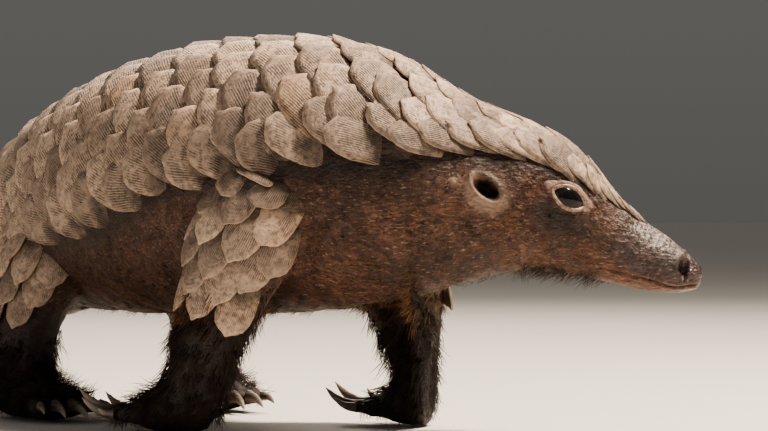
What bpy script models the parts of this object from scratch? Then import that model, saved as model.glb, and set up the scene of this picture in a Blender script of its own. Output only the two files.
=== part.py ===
"""A life-size white-bellied pangolin, standing still on a floor, in metres, +Z up.

The head points along +X and its right side faces -Y. The trunk bends away towards +Y behind the
neck, and the long tail comes down to the floor behind it. Z = 0 is the floor that the feet and the
tail rest on.
"""

import math
import random
from dataclasses import dataclass

import bmesh
import bpy
from mathutils import Matrix, Vector

MM = 0.001
GAP = 0.3 * MM
EARTH_UP = Vector((0.0, 0.0, 1.0))

# Driving sizes of the animal, in millimetres.
EYE_RADIUS = 4.6
PLATE_RISE = 2.1
PLATE_SINK = 2.7
# Shares of the step between scales: their length, their width and the distance between rows.
PLATE_LENGTH = 1.15
PLATE_WIDTH = 0.72
ROW_SPACING = 0.8
BODY_SIDES = 18
TAIL_SIDES = 12
LEG_SIDES = 12
CLAW_SIDES = 6
TOE_SIDES = 7
# The distance between the rings of a mesh, along the body, a limb and a foot.
BODY_SPACING = [(0.0, 1.6), (10.0, 5.0), (30.0, 7.0), (126.0, 20.0), (780.0, 18.0), (810.0, 5.0)]
LIMB_SPACING = [(0.0, 11.0), (100.0, 11.0)]
FOOT_SPACING = [(0.0, 3.0), (4.0, 8.0), (60.0, 8.0)]
END_INSET = 0.4
FLOOR_DEPTH = 40.0
# No scale starts lower than this above the floor.
PLATE_CLEARANCE = 3.0
# How far past a cut a tube is meshed before it is cut flat.
CUT_MARGIN = 2.0
# The block that cuts a tube flat, and the block below the floor, in metres.
CUT_BLOCK = 0.4
FLOOR_BLOCK = 2.0

SCALE_COLOUR = (0.42, 0.35, 0.28, 1.0)
SKIN_COLOUR = (0.42, 0.25, 0.17, 1.0)
LIMB_COLOUR = (0.14, 0.10, 0.085, 1.0)
CLAW_COLOUR = (0.34, 0.29, 0.26, 1.0)
EYE_COLOUR = (0.015, 0.015, 0.02, 1.0)


@dataclass
class Station:
    """One cross-section of a tube: its centre, half width, and height above and below, in mm."""

    x: float
    y: float
    z: float
    half_width: float
    rise: float
    drop: float


# Stations are measured from a point on the floor below the head. The whole animal is moved by
# this much, in mm, so that the middle of its box stands on the origin.
SHIFT = Vector((237.42, -116.46, 0.0))

# The body from the tip of the nose to the tip of the tail.
BODY = [
    Station(106.0, 0.0, 52.6, 1.4, 1.6, 1.6),
    Station(105.0, 0.0, 52.8, 3.4, 3.6, 3.8),
    Station(102.6, 0.0, 53.2, 5.2, 5.4, 5.4),
    Station(98.0, 0.0, 54.6, 6.7, 7.6, 7.8),
    Station(90.7, 0.0, 57.4, 8.4, 10.0, 10.2),
    Station(82.3, 0.0, 61.0, 10.0, 11.8, 12.0),
    Station(72.7, 0.0, 65.7, 12.2, 14.4, 14.8),
    Station(63.9, 0.0, 70.5, 14.8, 18.4, 18.8),
    Station(54.1, 0.0, 76.0, 17.6, 22.4, 22.8),
    Station(41.8, 0.4, 79.4, 20.4, 26.6, 26.8),
    Station(27.9, 1.4, 80.8, 23.6, 31.0, 31.2),
    Station(11.9, 4.0, 82.4, 28.6, 38.2, 38.6),
    Station(-6.0, 11.0, 84.8, 34.0, 44.0, 43.4),
    Station(-26.0, 24.0, 86.0, 39.5, 47.6, 46.8),
    Station(-48.0, 44.0, 86.6, 43.8, 47.2, 48.4),
    Station(-68.0, 68.0, 86.0, 46.0, 44.8, 48.6),
    Station(-85.0, 94.0, 83.4, 46.0, 41.6, 46.4),
    Station(-100.0, 121.0, 79.4, 43.6, 38.0, 42.4),
    Station(-116.0, 147.0, 73.6, 38.6, 34.0, 36.6),
    Station(-136.0, 172.0, 65.0, 32.4, 29.0, 29.6),
    Station(-166.0, 197.0, 51.0, 28.4, 24.2, 23.0),
    Station(-204.0, 216.0, 33.6, 26.2, 18.8, 18.2),
    Station(-250.0, 228.0, 20.4, 24.8, 15.2, 15.4),
    Station(-300.0, 232.0, 13.4, 23.6, 13.2, 13.6),
    Station(-352.0, 228.0, 11.8, 22.2, 12.2, 12.6),
    Station(-404.0, 217.0, 10.8, 20.6, 11.2, 11.6),
    Station(-454.0, 201.0, 9.8, 18.6, 10.2, 10.6),
    Station(-502.0, 182.0, 8.6, 16.2, 9.0, 9.4),
    Station(-544.0, 164.0, 7.2, 13.0, 7.6, 7.8),
    Station(-570.0, 153.0, 5.8, 8.8, 5.8, 6.0),
    Station(-580.0, 149.0, 5.0, 3.4, 2.8, 2.8),
]

# Where the nodes of the body part, as distances along it from the nose.
HEAD_END = 86.0
NECK_END = 126.0
CHEST_END = 188.0
LOIN_END = 248.0
RUMP_END = 312.0
TAIL_ENDS = (398.0, 488.0, 578.0, 668.0)


def smooth(values, t):
    """A monotone cubic through evenly spaced values, at t from 0 to their last index."""
    last = len(values) - 1
    i = min(int(t), last - 1)
    f = t - i

    def slope(k):
        if k <= 0 or k >= last:
            j = min(max(k, 1), last)
            return values[j] - values[j - 1]
        before = values[k] - values[k - 1]
        after = values[k + 1] - values[k]
        return 0.0 if before * after <= 0 else 2 * before * after / (before + after)

    h00 = (1 + 2 * f) * (1 - f) ** 2
    h01 = f * f * (3 - 2 * f)
    h10 = f * (1 - f) ** 2
    h11 = f * f * (f - 1)
    return h00 * values[i] + h10 * slope(i) + h01 * values[i + 1] + h11 * slope(i + 1)


def through(points, t):
    """A Catmull-Rom curve through points, at t from 0 to their last index."""
    last = len(points) - 1
    i = min(max(int(t), 0), last - 1)
    f = t - i
    p1, p2 = points[i], points[i + 1]
    p0 = points[i - 1] if i > 0 else p1 * 2 - p2
    p3 = points[i + 2] if i + 2 <= last else p2 * 2 - p1
    return 0.5 * (
        2 * p1
        + (p2 - p0) * f
        + (2 * p0 - 5 * p1 + 4 * p2 - p3) * f * f
        + (3 * p1 - p0 - 3 * p2 + p3) * f**3
    )


def blend(stops, s):
    """The value at s between (place, value) stops, eased from each to the next."""
    for (s0, v0), (s1, v1) in zip(stops, stops[1:]):
        if s <= s1:
            f = min(max((s - s0) / (s1 - s0), 0.0), 1.0)
            return v0 + (v1 - v0) * f * f * (3 - 2 * f)
    return stops[-1][1]


class Tube:
    """A smooth tube through stations. Distances along it and sizes are in mm, points in metres."""

    STEPS = 24

    def __init__(self, stations, sides, spacing, up=EARTH_UP, shift=Vector()):
        self.stations = stations
        self.sides = sides
        self.spacing = spacing
        self.up = up
        self.centres = [Vector((c.x, c.y, c.z)) + shift for c in stations]
        last = len(stations) - 1
        self.lengths = [0.0]
        before = self.centres[0]
        for k in range(1, last * self.STEPS + 1):
            here = through(self.centres, k / self.STEPS)
            self.lengths.append(self.lengths[-1] + (here - before).length)
            before = here
        self.length = self.lengths[-1]

    def place(self, s):
        """The curve's own parameter at distance s."""
        low, high = 0, len(self.lengths) - 1
        s = min(max(s, 0.0), self.length)
        while high - low > 1:
            middle = (low + high) // 2
            if self.lengths[middle] <= s:
                low = middle
            else:
                high = middle
        span = self.lengths[high] - self.lengths[low]
        return (low + (s - self.lengths[low]) / span) / self.STEPS

    def centre(self, s):
        """The point in mm on the centre line, carried straight on past either end."""
        inside = min(max(s, 0.0), self.length)
        point = through(self.centres, self.place(inside))
        return point if s == inside else point - self.heading(inside) * (s - inside)

    def heading(self, s):
        """The unit direction towards the start of the tube."""
        step = 0.5
        low, high = max(s - step, 0.0), min(s + step, self.length)
        ahead = through(self.centres, self.place(low))
        behind = through(self.centres, self.place(high))
        return (ahead - behind).normalized()

    def frame(self, s):
        """Heading, right and dorsal directions at distance s."""
        heading = self.heading(s)
        right = heading.cross(self.up).normalized()
        return heading, right, right.cross(heading)

    def size(self, s, name):
        """One size of the cross-section at distance s."""
        return smooth([getattr(c, name) for c in self.stations], self.place(s))

    def point(self, s, angle, lift=0.0):
        """The surface point, in metres, at an angle in degrees from the top towards the right side."""
        _, right, dorsal = self.frame(s)
        sine, cosine = math.sin(math.radians(angle)), math.cos(math.radians(angle))
        wide = self.size(s, "half_width") + lift
        high = self.size(s, "rise" if cosine >= 0 else "drop") + lift
        return (self.centre(s) + right * wide * sine + dorsal * high * cosine) * MM

    def girth(self, s, half_arc):
        """The length in mm of the surface from the top down to half_arc degrees, on one side."""
        steps = 12
        points = [self.point(s, half_arc * k / steps) for k in range(steps + 1)]
        return sum((b - a).length for a, b in zip(points, points[1:])) / MM

    def rings(self):
        """The places of its rings: the same ones whatever stretch of it is meshed."""
        places = [min(END_INSET, self.length / 4)]
        while places[-1] < self.length - END_INSET:
            places.append(places[-1] + blend(self.spacing, places[-1]))
        places[-1] = self.length - END_INSET
        return places

    def mesh(self, start, end, grow=0.0):
        """A closed mesh of the tube that covers start to end, with flat ends."""
        places = self.rings()
        first = max([k for k, s in enumerate(places) if s <= start] or [0])
        last = min([k for k, s in enumerate(places) if s >= end] or [len(places) - 1])
        bm = bmesh.new()
        rings = []
        for s in places[first : last + 1]:
            angles = [360.0 * j / self.sides for j in range(self.sides)]
            rings.append([bm.verts.new(self.point(s, a, grow / MM)) for a in angles])
        for ring, following in zip(rings, rings[1:]):
            for j in range(self.sides):
                n = (j + 1) % self.sides
                bm.faces.new((ring[j], ring[n], following[n], following[j]))
        bm.faces.new(rings[0][::-1])
        bm.faces.new(rings[-1])
        return bm


@dataclass
class Plate:
    """One horny scale: where its middle lies on a tube, and its size, in mm and degrees."""

    s: float
    angle: float
    length: float
    width: float
    rise: float = PLATE_RISE


# The outline of a scale, from its root round by the right: share of its length, share of its half
# width, share of its rise.
OUTLINE = ((-0.5, 0.0, -0.9), (0.06, 1.0, 0.5), (0.5, 0.0, 1.0), (0.06, -1.0, 0.5))


def plate_mesh(tube, plate, grow=0.0):
    """A closed wedge over the tube's surface, highest at its free tip and sunk at its root."""
    bm = bmesh.new()
    top, bottom = [], []
    for along, across, rise in OUTLINE:
        s = plate.s + along * plate.length + math.copysign(grow / MM, along)
        sideways = across * (plate.width / 2 + grow / MM)
        angle = plate.angle + 90.0 * sideways / max(tube.girth(s, 90.0), plate.width)
        top.append(bm.verts.new(tube.point(s, angle, rise * plate.rise + grow / MM)))
        bottom.append(bm.verts.new(tube.point(s, angle, -PLATE_SINK)))
    for root, right, tip, left in (top, bottom):
        bm.faces.new((root, right, left))
        bm.faces.new((right, tip, left))
    for k in range(len(OUTLINE)):
        n = (k + 1) % len(OUTLINE)
        bm.faces.new((top[n], top[k], bottom[k], bottom[n]))
    bmesh.ops.triangulate(bm, faces=bm.faces[:])
    return bm


def plate_rows(tube, start, end, half_arc, step, draw):
    """Staggered rows of plates over the back of a tube, from start to end."""
    plates = []
    s, row = start, 0
    while s < end:
        arc = blend(half_arc, s)
        wide = blend(step, s)
        closed = arc >= 179.0
        around = 2 * tube.girth(s, min(arc, 180.0))
        count = max(4 if closed else 1, round(around / wide))
        if not closed and count % 2 == row % 2:
            count += 1
        for k in range(count):
            share = (k + 0.5 * (row % 2) if closed else k + 0.5) / count
            plates.append(
                Plate(
                    s + draw.uniform(-0.03, 0.03) * wide,
                    -arc + 2 * arc * share,
                    wide * PLATE_LENGTH,
                    around / count * PLATE_WIDTH,
                    PLATE_RISE * draw.uniform(0.9, 1.1) * min(1.0, wide / 17.0),
                )
            )
        s += ROW_SPACING * wide
        row += 1
    return plates


def finished(name, bm):
    """A linked object from a bmesh, with its faces pointing out."""
    bmesh.ops.recalc_face_normals(bm, faces=bm.faces[:])
    mesh = bpy.data.meshes.new(name)
    bm.to_mesh(mesh)
    bm.free()
    made = bpy.data.objects.new(name, mesh)
    bpy.context.scene.collection.objects.link(made)
    return made


def apply_modifiers(made):
    """Makes the object's evaluated mesh its own and drops the modifiers."""
    graph = bpy.context.evaluated_depsgraph_get()
    graph.update()
    mesh = bpy.data.meshes.new_from_object(made.evaluated_get(graph))
    made.modifiers.clear()
    made.data = mesh


def combine(made, pieces, operation):
    """Unions or subtracts a collection of closed pieces, applies it and removes them."""
    if not pieces:
        return made
    group = bpy.data.collections.new(made.name + "_pieces")
    bpy.context.scene.collection.children.link(group)
    for piece in pieces:
        bpy.context.scene.collection.objects.unlink(piece)
        group.objects.link(piece)
    modifier = made.modifiers.new(operation.lower(), "BOOLEAN")
    modifier.operation = operation
    modifier.operand_type = "COLLECTION"
    modifier.collection = group
    modifier.solver = "MANIFOLD"
    apply_modifiers(made)
    for piece in pieces:
        bpy.data.objects.remove(piece)
    bpy.data.collections.remove(group)
    return made


def volume_of(faces):
    """The signed volume that a set of faces encloses."""
    total = 0.0
    for face in faces:
        corners = [v.co for v in face.verts]
        for a, b in zip(corners[1:], corners[2:]):
            total += corners[0].dot(a.cross(b)) / 6
    return total


def keep_largest(made):
    """Keeps only the largest closed surface of the object's mesh."""
    bm = bmesh.new()
    bm.from_mesh(made.data)
    bmesh.ops.triangulate(bm, faces=bm.faces[:])
    left = set(bm.faces)
    shells = []
    while left:
        shell, growing = set(), [left.pop()]
        while growing:
            face = growing.pop()
            shell.add(face)
            for edge in face.edges:
                for near in edge.link_faces:
                    if near in left:
                        left.discard(near)
                        growing.append(near)
        shells.append(shell)
    best = max(shells, key=volume_of)
    loose = [face for shell in shells if shell is not best for face in shell]
    bmesh.ops.delete(bm, geom=loose, context="FACES")
    bm.to_mesh(made.data)
    bm.free()
    return made


def dressed(made, colour, roughness):
    """Gives the object its own plain material."""
    material = bpy.data.materials.new(made.name)
    material.use_nodes = True
    shader = material.node_tree.nodes["Principled BSDF"]
    shader.inputs["Base Color"].default_value = colour
    shader.inputs["Roughness"].default_value = roughness
    made.data.materials.clear()
    made.data.materials.append(material)
    return made


def beyond(tube, s, side):
    """A block that covers all past the cut at s: side 1 towards the tail, -1 towards the nose."""
    heading, right, dorsal = tube.frame(s)
    bm = bmesh.new()
    bmesh.ops.create_cube(bm, size=CUT_BLOCK)
    turn = Matrix((heading, right, dorsal)).transposed().to_4x4()
    middle = tube.centre(s) * MM - heading * side * (CUT_BLOCK / 2 - GAP / 2)
    bmesh.ops.transform(bm, matrix=Matrix.Translation(middle) @ turn, verts=bm.verts)
    return finished("beyond", bm)


def below_floor():
    """A block whose top face is the floor."""
    bm = bmesh.new()
    bmesh.ops.create_cube(bm, size=FLOOR_BLOCK)
    depth = FLOOR_DEPTH * MM
    flat = Matrix.Diagonal((1.0, 1.0, depth / FLOOR_BLOCK, 1.0))
    bmesh.ops.transform(bm, matrix=Matrix.Translation((0, 0, -depth / 2)) @ flat, verts=bm.verts)
    return finished("below_floor", bm)


def ellipsoid(name, middle, radii, axes=None, segments=8, rings=6):
    """A closed ellipsoid with radii in mm along three axes."""
    bm = bmesh.new()
    bmesh.ops.create_uvsphere(bm, u_segments=segments, v_segments=rings, radius=1.0)
    turn = Matrix.Identity(4) if axes is None else Matrix(axes).transposed().to_4x4()
    scale = Matrix.Diagonal((radii[0] * MM, radii[1] * MM, radii[2] * MM, 1.0))
    bmesh.ops.transform(bm, matrix=Matrix.Translation(middle) @ turn @ scale, verts=bm.verts)
    return finished(name, bm)


def ring(name, middle, axes, radii, thickness, sides=12, around=5):
    """A closed oval ring round axes[2], with radii in mm along axes[0] and axes[1]."""
    bm = bmesh.new()
    loops = []
    for k in range(sides):
        turn = 2 * math.pi * k / sides
        out = axes[0] * math.cos(turn) + axes[1] * math.sin(turn)
        core = axes[0] * radii[0] * math.cos(turn) + axes[1] * radii[1] * math.sin(turn)
        loop = []
        for j in range(around):
            tilt = 2 * math.pi * j / around
            offset = (out * math.cos(tilt) + axes[2] * math.sin(tilt)) * thickness
            loop.append(bm.verts.new(middle + (core + offset) * MM))
        loops.append(loop)
    for k in range(sides):
        a, b = loops[k], loops[(k + 1) % sides]
        for j in range(around):
            n = (j + 1) % around
            bm.faces.new((a[j], b[j], b[n], a[n]))
    return finished(name, bm)


def surface_axes(tube, s, angle):
    """Directions on the surface: towards the nose, upwards round it, and out of it."""
    step = 1.0
    ahead = (tube.point(s - step, angle) - tube.point(s + step, angle)).normalized()
    up = tube.point(s, angle - math.copysign(step, angle)) - tube.point(s, angle)
    up = (up - ahead * up.dot(ahead)).normalized()
    out = ahead.cross(up).normalized()
    if out.dot(tube.point(s, angle) - tube.centre(s) * MM) < 0:
        out = -out
    return ahead, up, out


body = Tube(BODY, BODY_SIDES, BODY_SPACING, shift=SHIFT)
tail = Tube(BODY, TAIL_SIDES, BODY_SPACING, shift=SHIFT)

# How far down each side the scales reach, in degrees from the top, along the body.
SCALED_ARC = [
    (21.0, 4.0), (27.0, 12.0), (36.0, 36.0), (45.0, 45.0), (56.0, 54.0), (66.0, 58.0),
    (81.0, 64.0), (100.0, 75.0), (125.0, 82.0), (151.0, 90.0), (210.0, 112.0), (270.0, 120.0),
    (300.0, 150.0), (318.0, 180.0),
]
SCALE_STEP = [
    (20.0, 11.0), (50.0, 13.5), (80.0, 16.5), (130.0, 21.5), (200.0, 24.5), (300.0, 25.5),
    (420.0, 27.0), (600.0, 25.0), (760.0, 19.0),
]
FIRST_SCALE = 22.0
LAST_SCALE = 796.0
# The same for the outer side of a limb, at its top and where its scales end.
LIMB_FIRST_SCALE = 8.0
LIMB_ARC = (92.0, 80.0)
LIMB_STEP = (19.0, 16.0)
# No scale of the body starts inside this share of a limb's length and of its thickness.
LIMB_ROOT = 0.6
LIMB_CORE = 0.9

# The eye and the ear hole on the head, as distance from the nose and angle from the top.
EYE_AT = (53.5, 75.0)
EAR_AT = (77.0, 86.0)
EYE_TILT = -6.0
EYE_BULGE = 1.6

# How far round from the top the line of the mouth runs, along the head.
MOUTH_ANGLE = [(2.0, 130.0), (8.0, 137.0), (16.0, 129.0), (37.0, 134.0)]
NOSTRIL_AT = (7.5, 77.0)


@dataclass
class Leg:
    """One leg: where it leaves the body, its stride, and the tables of its limb, foot and claws."""

    name: str
    side: float
    s: float
    stride: float
    foot_turn: float
    limb: tuple
    foot: tuple
    claws: tuple
    claw_bend: tuple
    toe_reach: float
    toe_height: float
    scaled_to: float


# A limb from inside the body down: how far out from the body's middle, height, half depth fore and
# aft, thickness outwards and inwards.
FORE_LIMB = (
    (22.0, 82.0, 23.0, 18.0, 14.0),
    (33.0, 62.0, 20.0, 15.0, 13.0),
    (37.0, 44.0, 16.0, 12.0, 11.5),
    (38.0, 28.0, 13.0, 10.6, 10.6),
    (38.5, 10.0, 11.5, 10.0, 10.0),
)
HIND_LIMB = (
    (18.0, 74.0, 31.0, 24.0, 16.0),
    (30.0, 54.0, 27.0, 18.0, 15.0),
    (38.0, 36.0, 19.0, 13.0, 12.5),
    (40.5, 22.0, 14.0, 11.5, 11.5),
    (41.0, 9.0, 12.0, 10.5, 10.5),
)
# A foot from its back end: distance along it from the ankle, height, half width, rise and drop.
FORE_FOOT = (
    (-11.5, 8.0, 2.0, 2.0, 2.6),
    (-8.0, 9.8, 8.0, 7.4, 9.9),
    (2.0, 10.6, 11.2, 9.6, 11.2),
    (11.0, 9.6, 11.8, 7.4, 10.2),
    (17.0, 8.4, 10.6, 5.2, 8.9),
)
HIND_FOOT = (
    (-15.5, 7.6, 2.0, 2.0, 2.8),
    (-12.0, 8.8, 7.6, 7.0, 8.9),
    (0.0, 9.6, 11.2, 9.6, 10.2),
    (14.0, 8.8, 12.0, 7.8, 9.3),
    (25.0, 7.6, 12.2, 5.6, 8.1),
    (30.0, 7.0, 11.0, 4.4, 7.4),
)
# The claws from the inner toe out: offset across the foot, length and base radius.
FORE_CLAWS = (
    (-10.4, 7.0, 1.5), (-5.9, 18.0, 2.5), (0.0, 26.0, 3.0), (6.0, 21.0, 2.6), (10.6, 11.0, 1.8),
)
HIND_CLAWS = (
    (-10.2, 8.0, 1.6), (-5.3, 13.0, 2.1), (0.0, 15.0, 2.3), (5.3, 14.0, 2.1), (10.2, 9.0, 1.7),
)
FORE_BEND = (-16.0, 48.0)
HIND_BEND = (14.0, -44.0)
ANKLE = 17.0
TOE_RADIUS = 3.5
TOE_LENGTH = 9.0
# How far a toe reaches back into its foot, how much the toes fan out for each mm off the middle,
# and how close together they start.
TOE_ROOT = 6.0
TOE_FAN = 0.03
TOE_SPREAD = 0.92
# The least radius of a claw's tip, and how much narrower toes and claws are than they are high.
CLAW_TIP = 0.35
NARROW = 0.8
# How far the meshed shin reaches above the ankle, and how far each way along the body its scales
# can touch a leg.
SHIN_OVERLAP = 4.0
LEG_REACH = 62.0

# The forefeet are turned back, because the animal walks on the outer side of its curled claws.
FORE = (FORE_LIMB, FORE_FOOT, FORE_CLAWS, FORE_BEND, 13.0, 6.6, 40.0)
HIND = (HIND_LIMB, HIND_FOOT, HIND_CLAWS, HIND_BEND, 26.0, 6.2, 30.0)
LEGS = (
    Leg("right_fore", 1.0, 138.0, -26.0, 190.0, *FORE),
    Leg("left_fore", -1.0, 138.0, 18.0, 176.0, *FORE),
    Leg("right_hind", 1.0, 262.0, 6.0, 6.0, *HIND),
    Leg("left_hind", -1.0, 262.0, -16.0, -6.0, *HIND),
)


def level(direction):
    """The direction laid flat, as a unit vector."""
    return Vector((direction.x, direction.y, 0.0)).normalized()


def leg_axes(leg):
    """The leg's forward and outward directions, both level."""
    forward = level(body.heading(leg.s))
    return forward, forward.cross(EARTH_UP) * leg.side


def ankle_of(leg):
    """The level point, in mm, that the ankle stands over."""
    forward, outward = leg_axes(leg)
    point = body.centre(leg.s) + outward * leg.limb[-1][0] + forward * leg.stride
    return Vector((point.x, point.y, 0.0))


def limb_tube(leg):
    """The tube of the limb, with its own top turned outwards."""
    forward, outward = leg_axes(leg)
    hip = body.centre(leg.s)
    top = leg.limb[0][1]
    stations = []
    for out, height, depth, outer, inner in leg.limb:
        share = (top - height) / (top - leg.limb[-1][1])
        spot = hip + outward * out + forward * leg.stride * share
        stations.append(Station(spot.x, spot.y, height, depth, outer, inner))
    return Tube(stations, LEG_SIDES, LIMB_SPACING, outward)


def foot_tube(leg):
    """The tube of the foot, and the level direction in which its toes point."""
    forward, _ = leg_axes(leg)
    turn = Matrix.Rotation(math.radians(leg.foot_turn), 3, "Z")
    toes = turn @ forward
    ankle = ankle_of(leg)
    stations = []
    for along, height, half_width, rise, drop in leg.foot:
        spot = ankle + toes * along
        stations.append(Station(spot.x, spot.y, height, half_width, rise, drop))
    return Tube(stations, LEG_SIDES, FOOT_SPACING), toes


def toe_places(leg, toes):
    """For each toe: its direction, the point in mm where it starts, and its claw's size."""
    across = toes.cross(EARTH_UP) * -leg.side
    if leg.limb is FORE_LIMB:
        across = -across
    places = []
    for offset, length, radius in leg.claws:
        fan = toes + across * offset * TOE_FAN
        start = ankle_of(leg) + across * offset * TOE_SPREAD + toes * leg.toe_reach
        start = start + EARTH_UP * leg.toe_height
        places.append((fan.normalized(), start, length, radius))
    return places


def rod(points, radii, sides, flat=1.0):
    """A closed tube round points in mm, with a radius in mm at each."""
    bm = bmesh.new()
    rings = []
    for k, (point, radius) in enumerate(zip(points, radii)):
        ahead = points[min(k + 1, len(points) - 1)] - points[max(k - 1, 0)]
        across = ahead.cross(EARTH_UP).normalized()
        upward = across.cross(ahead).normalized()
        loop = []
        for j in range(sides):
            turn = 2 * math.pi * j / sides
            offset = across * math.cos(turn) * radius * flat + upward * math.sin(turn) * radius
            loop.append(bm.verts.new((point + offset) * MM))
        rings.append(loop)
    for a, b in zip(rings, rings[1:]):
        for j in range(sides):
            n = (j + 1) % sides
            bm.faces.new((a[j], a[n], b[n], b[j]))
    bm.faces.new(rings[0][::-1])
    bm.faces.new(rings[-1])
    return bm


def claw(name, direction, start, length, radius, bend):
    """One curved claw from the flat end of its toe, bending from the first angle to the second."""
    steps = 4
    points, radii = [], []
    spot = start + direction * (TOE_LENGTH + GAP / MM)
    for k in range(steps + 1):
        share = k / steps
        points.append(spot)
        radii.append(radius * (1 - share) ** 0.75 + CLAW_TIP)
        angle = math.radians(bend[0] + (bend[1] - bend[0]) * (share + 0.5 / steps))
        stride = length / steps if k else length / steps / 2
        spot = spot + (direction * math.cos(angle) + EARTH_UP * math.sin(angle)) * stride
        if k == 0:
            spot = points[0] + direction * stride
    return finished(name, rod(points, radii, CLAW_SIDES, NARROW))


def limb_plates(leg, tube, draw):
    """The scales on the outer side of a limb, down to where its hair begins."""
    stop = next(
        s for s in range(int(LIMB_FIRST_SCALE), int(tube.length)) if tube.centre(s).z < leg.scaled_to
    )
    half_arc = [(0.0, LIMB_ARC[0]), (stop, LIMB_ARC[1])]
    step = [(0.0, LIMB_STEP[0]), (stop, LIMB_STEP[1])]
    return plate_rows(tube, LIMB_FIRST_SCALE, stop, half_arc, step, draw)


def bare_place(point, limbs):
    """Whether a surface point, in metres, is off the floor and clear of where a limb leaves."""
    if point.z < PLATE_CLEARANCE * MM:
        return False
    steps = 7
    for limb in limbs:
        for k in range(steps + 1):
            s = limb.length * LIMB_ROOT * k / steps
            reach = min(limb.size(s, "half_width"), limb.size(s, "rise")) * LIMB_CORE
            if (limb.centre(s) - point / MM).length < reach:
                return False
    return True


def covered(tube, plates, start, end, grow=0.0):
    """The union of a stretch of tube with the plates that reach into it."""
    core = finished("core", tube.mesh(start - CUT_MARGIN, end + CUT_MARGIN, grow))
    near = [p for p in plates if start - p.length < p.s < end + p.length]
    pieces = [finished("plate", plate_mesh(tube, p, grow)) for p in near]
    return combine(core, pieces, "UNION")


def body_node(name, tube, plates, start, end):
    """One length of the body, with its scales, cut flat at both ends and at the floor."""
    made = covered(tube, plates, start, end)
    made.name = name
    cutters = [below_floor()]
    if start > 0:
        cutters.append(beyond(tube, start, -1))
    if end < tube.length:
        cutters.append(beyond(tube, end, 1))
    combine(made, cutters, "DIFFERENCE")
    return keep_largest(made)


def eye_axes(side):
    """Directions at the eye: along the lids, across them, and out of the head."""
    ahead, up, out = surface_axes(body, EYE_AT[0], EYE_AT[1] * side)
    tilt = Matrix.Rotation(math.radians(-EYE_TILT) * side, 3, out)
    return tilt @ ahead, tilt @ up, out


def eye_middle(side):
    """The centre of the eyeball, in metres."""
    out = eye_axes(side)[2]
    return body.point(EYE_AT[0], EYE_AT[1] * side) - out * (EYE_RADIUS - EYE_BULGE) * MM


def head_features(side):
    """What is added to one side of the head, and what is cut from it."""
    along, across, out = eye_axes(side)
    socket = body.point(EYE_AT[0], EYE_AT[1] * side)
    lids = ring("lids", socket, (along, across, out), (6.0, 4.7), 1.5)
    ahead, up, ear_out = surface_axes(body, EAR_AT[0], EAR_AT[1] * side)
    ear = body.point(EAR_AT[0], EAR_AT[1] * side)
    rim = ring("ear_rim", ear, (ahead, up, ear_out), (6.0, 5.2), 1.8)
    hole = ellipsoid("ear_hole", ear + ear_out * 1.5 * MM, (4.2, 3.6, 6.0), (ahead, up, ear_out))
    ball = ellipsoid("socket", eye_middle(side), (EYE_RADIUS + 2 * GAP / MM,) * 3, segments=12, rings=8)
    nostril_axes = surface_axes(body, NOSTRIL_AT[0], NOSTRIL_AT[1] * side)
    nostril_at = body.point(NOSTRIL_AT[0], NOSTRIL_AT[1] * side)
    nostril = ellipsoid("nostril", nostril_at, (1.4, 3.0, 2.2), nostril_axes)
    groove_points = [
        body.point(s, blend(MOUTH_ANGLE, s) * side) / MM for s in range(4, 38, 4)
    ]
    lips = finished("mouth", rod(groove_points, [0.8] * len(groove_points), 4))
    return [lids, rim], [hole, ball, nostril, lips]


def build():
    """Makes every node of the animal."""
    draw = random.Random(7)
    limbs = [limb_tube(leg) for leg in LEGS]
    plates = plate_rows(body, FIRST_SCALE, LAST_SCALE, SCALED_ARC, SCALE_STEP, draw)
    plates = [p for p in plates if bare_place(body.point(p.s, p.angle), limbs)]

    head = covered(body, plates, 0.0, HEAD_END)
    head.name = "head"
    added, cut = [], [beyond(body, HEAD_END, 1)]
    for side in (1.0, -1.0):
        more, less = head_features(side)
        added += more
        cut += less
    combine(head, added, "UNION")
    combine(head, cut, "DIFFERENCE")
    dressed(keep_largest(head), SKIN_COLOUR, 0.6)
    for side, name in ((1.0, "right_eye"), (-1.0, "left_eye")):
        ball = ellipsoid(name, eye_middle(side), (EYE_RADIUS,) * 3, segments=12, rings=8)
        dressed(ball, EYE_COLOUR, 0.08)

    trunk = (
        ("neck", body, HEAD_END, NECK_END),
        ("chest", body, NECK_END, CHEST_END),
        ("loin", body, CHEST_END, LOIN_END),
        ("rump", body, LOIN_END, RUMP_END),
    )
    for name, tube, start, end in trunk:
        dressed(body_node(name, tube, plates, start, end), SCALE_COLOUR, 0.7)
    start = RUMP_END
    for k, end in enumerate((*TAIL_ENDS, tail.length + 1.0)):
        made = body_node(f"tail_{k + 1}", tail, plates, start, min(end, tail.length + 1.0))
        dressed(made, SCALE_COLOUR, 0.7)
        start = end

    for leg, limb in zip(LEGS, limbs):
        leg_nodes(leg, limb, plates, draw)


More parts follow.
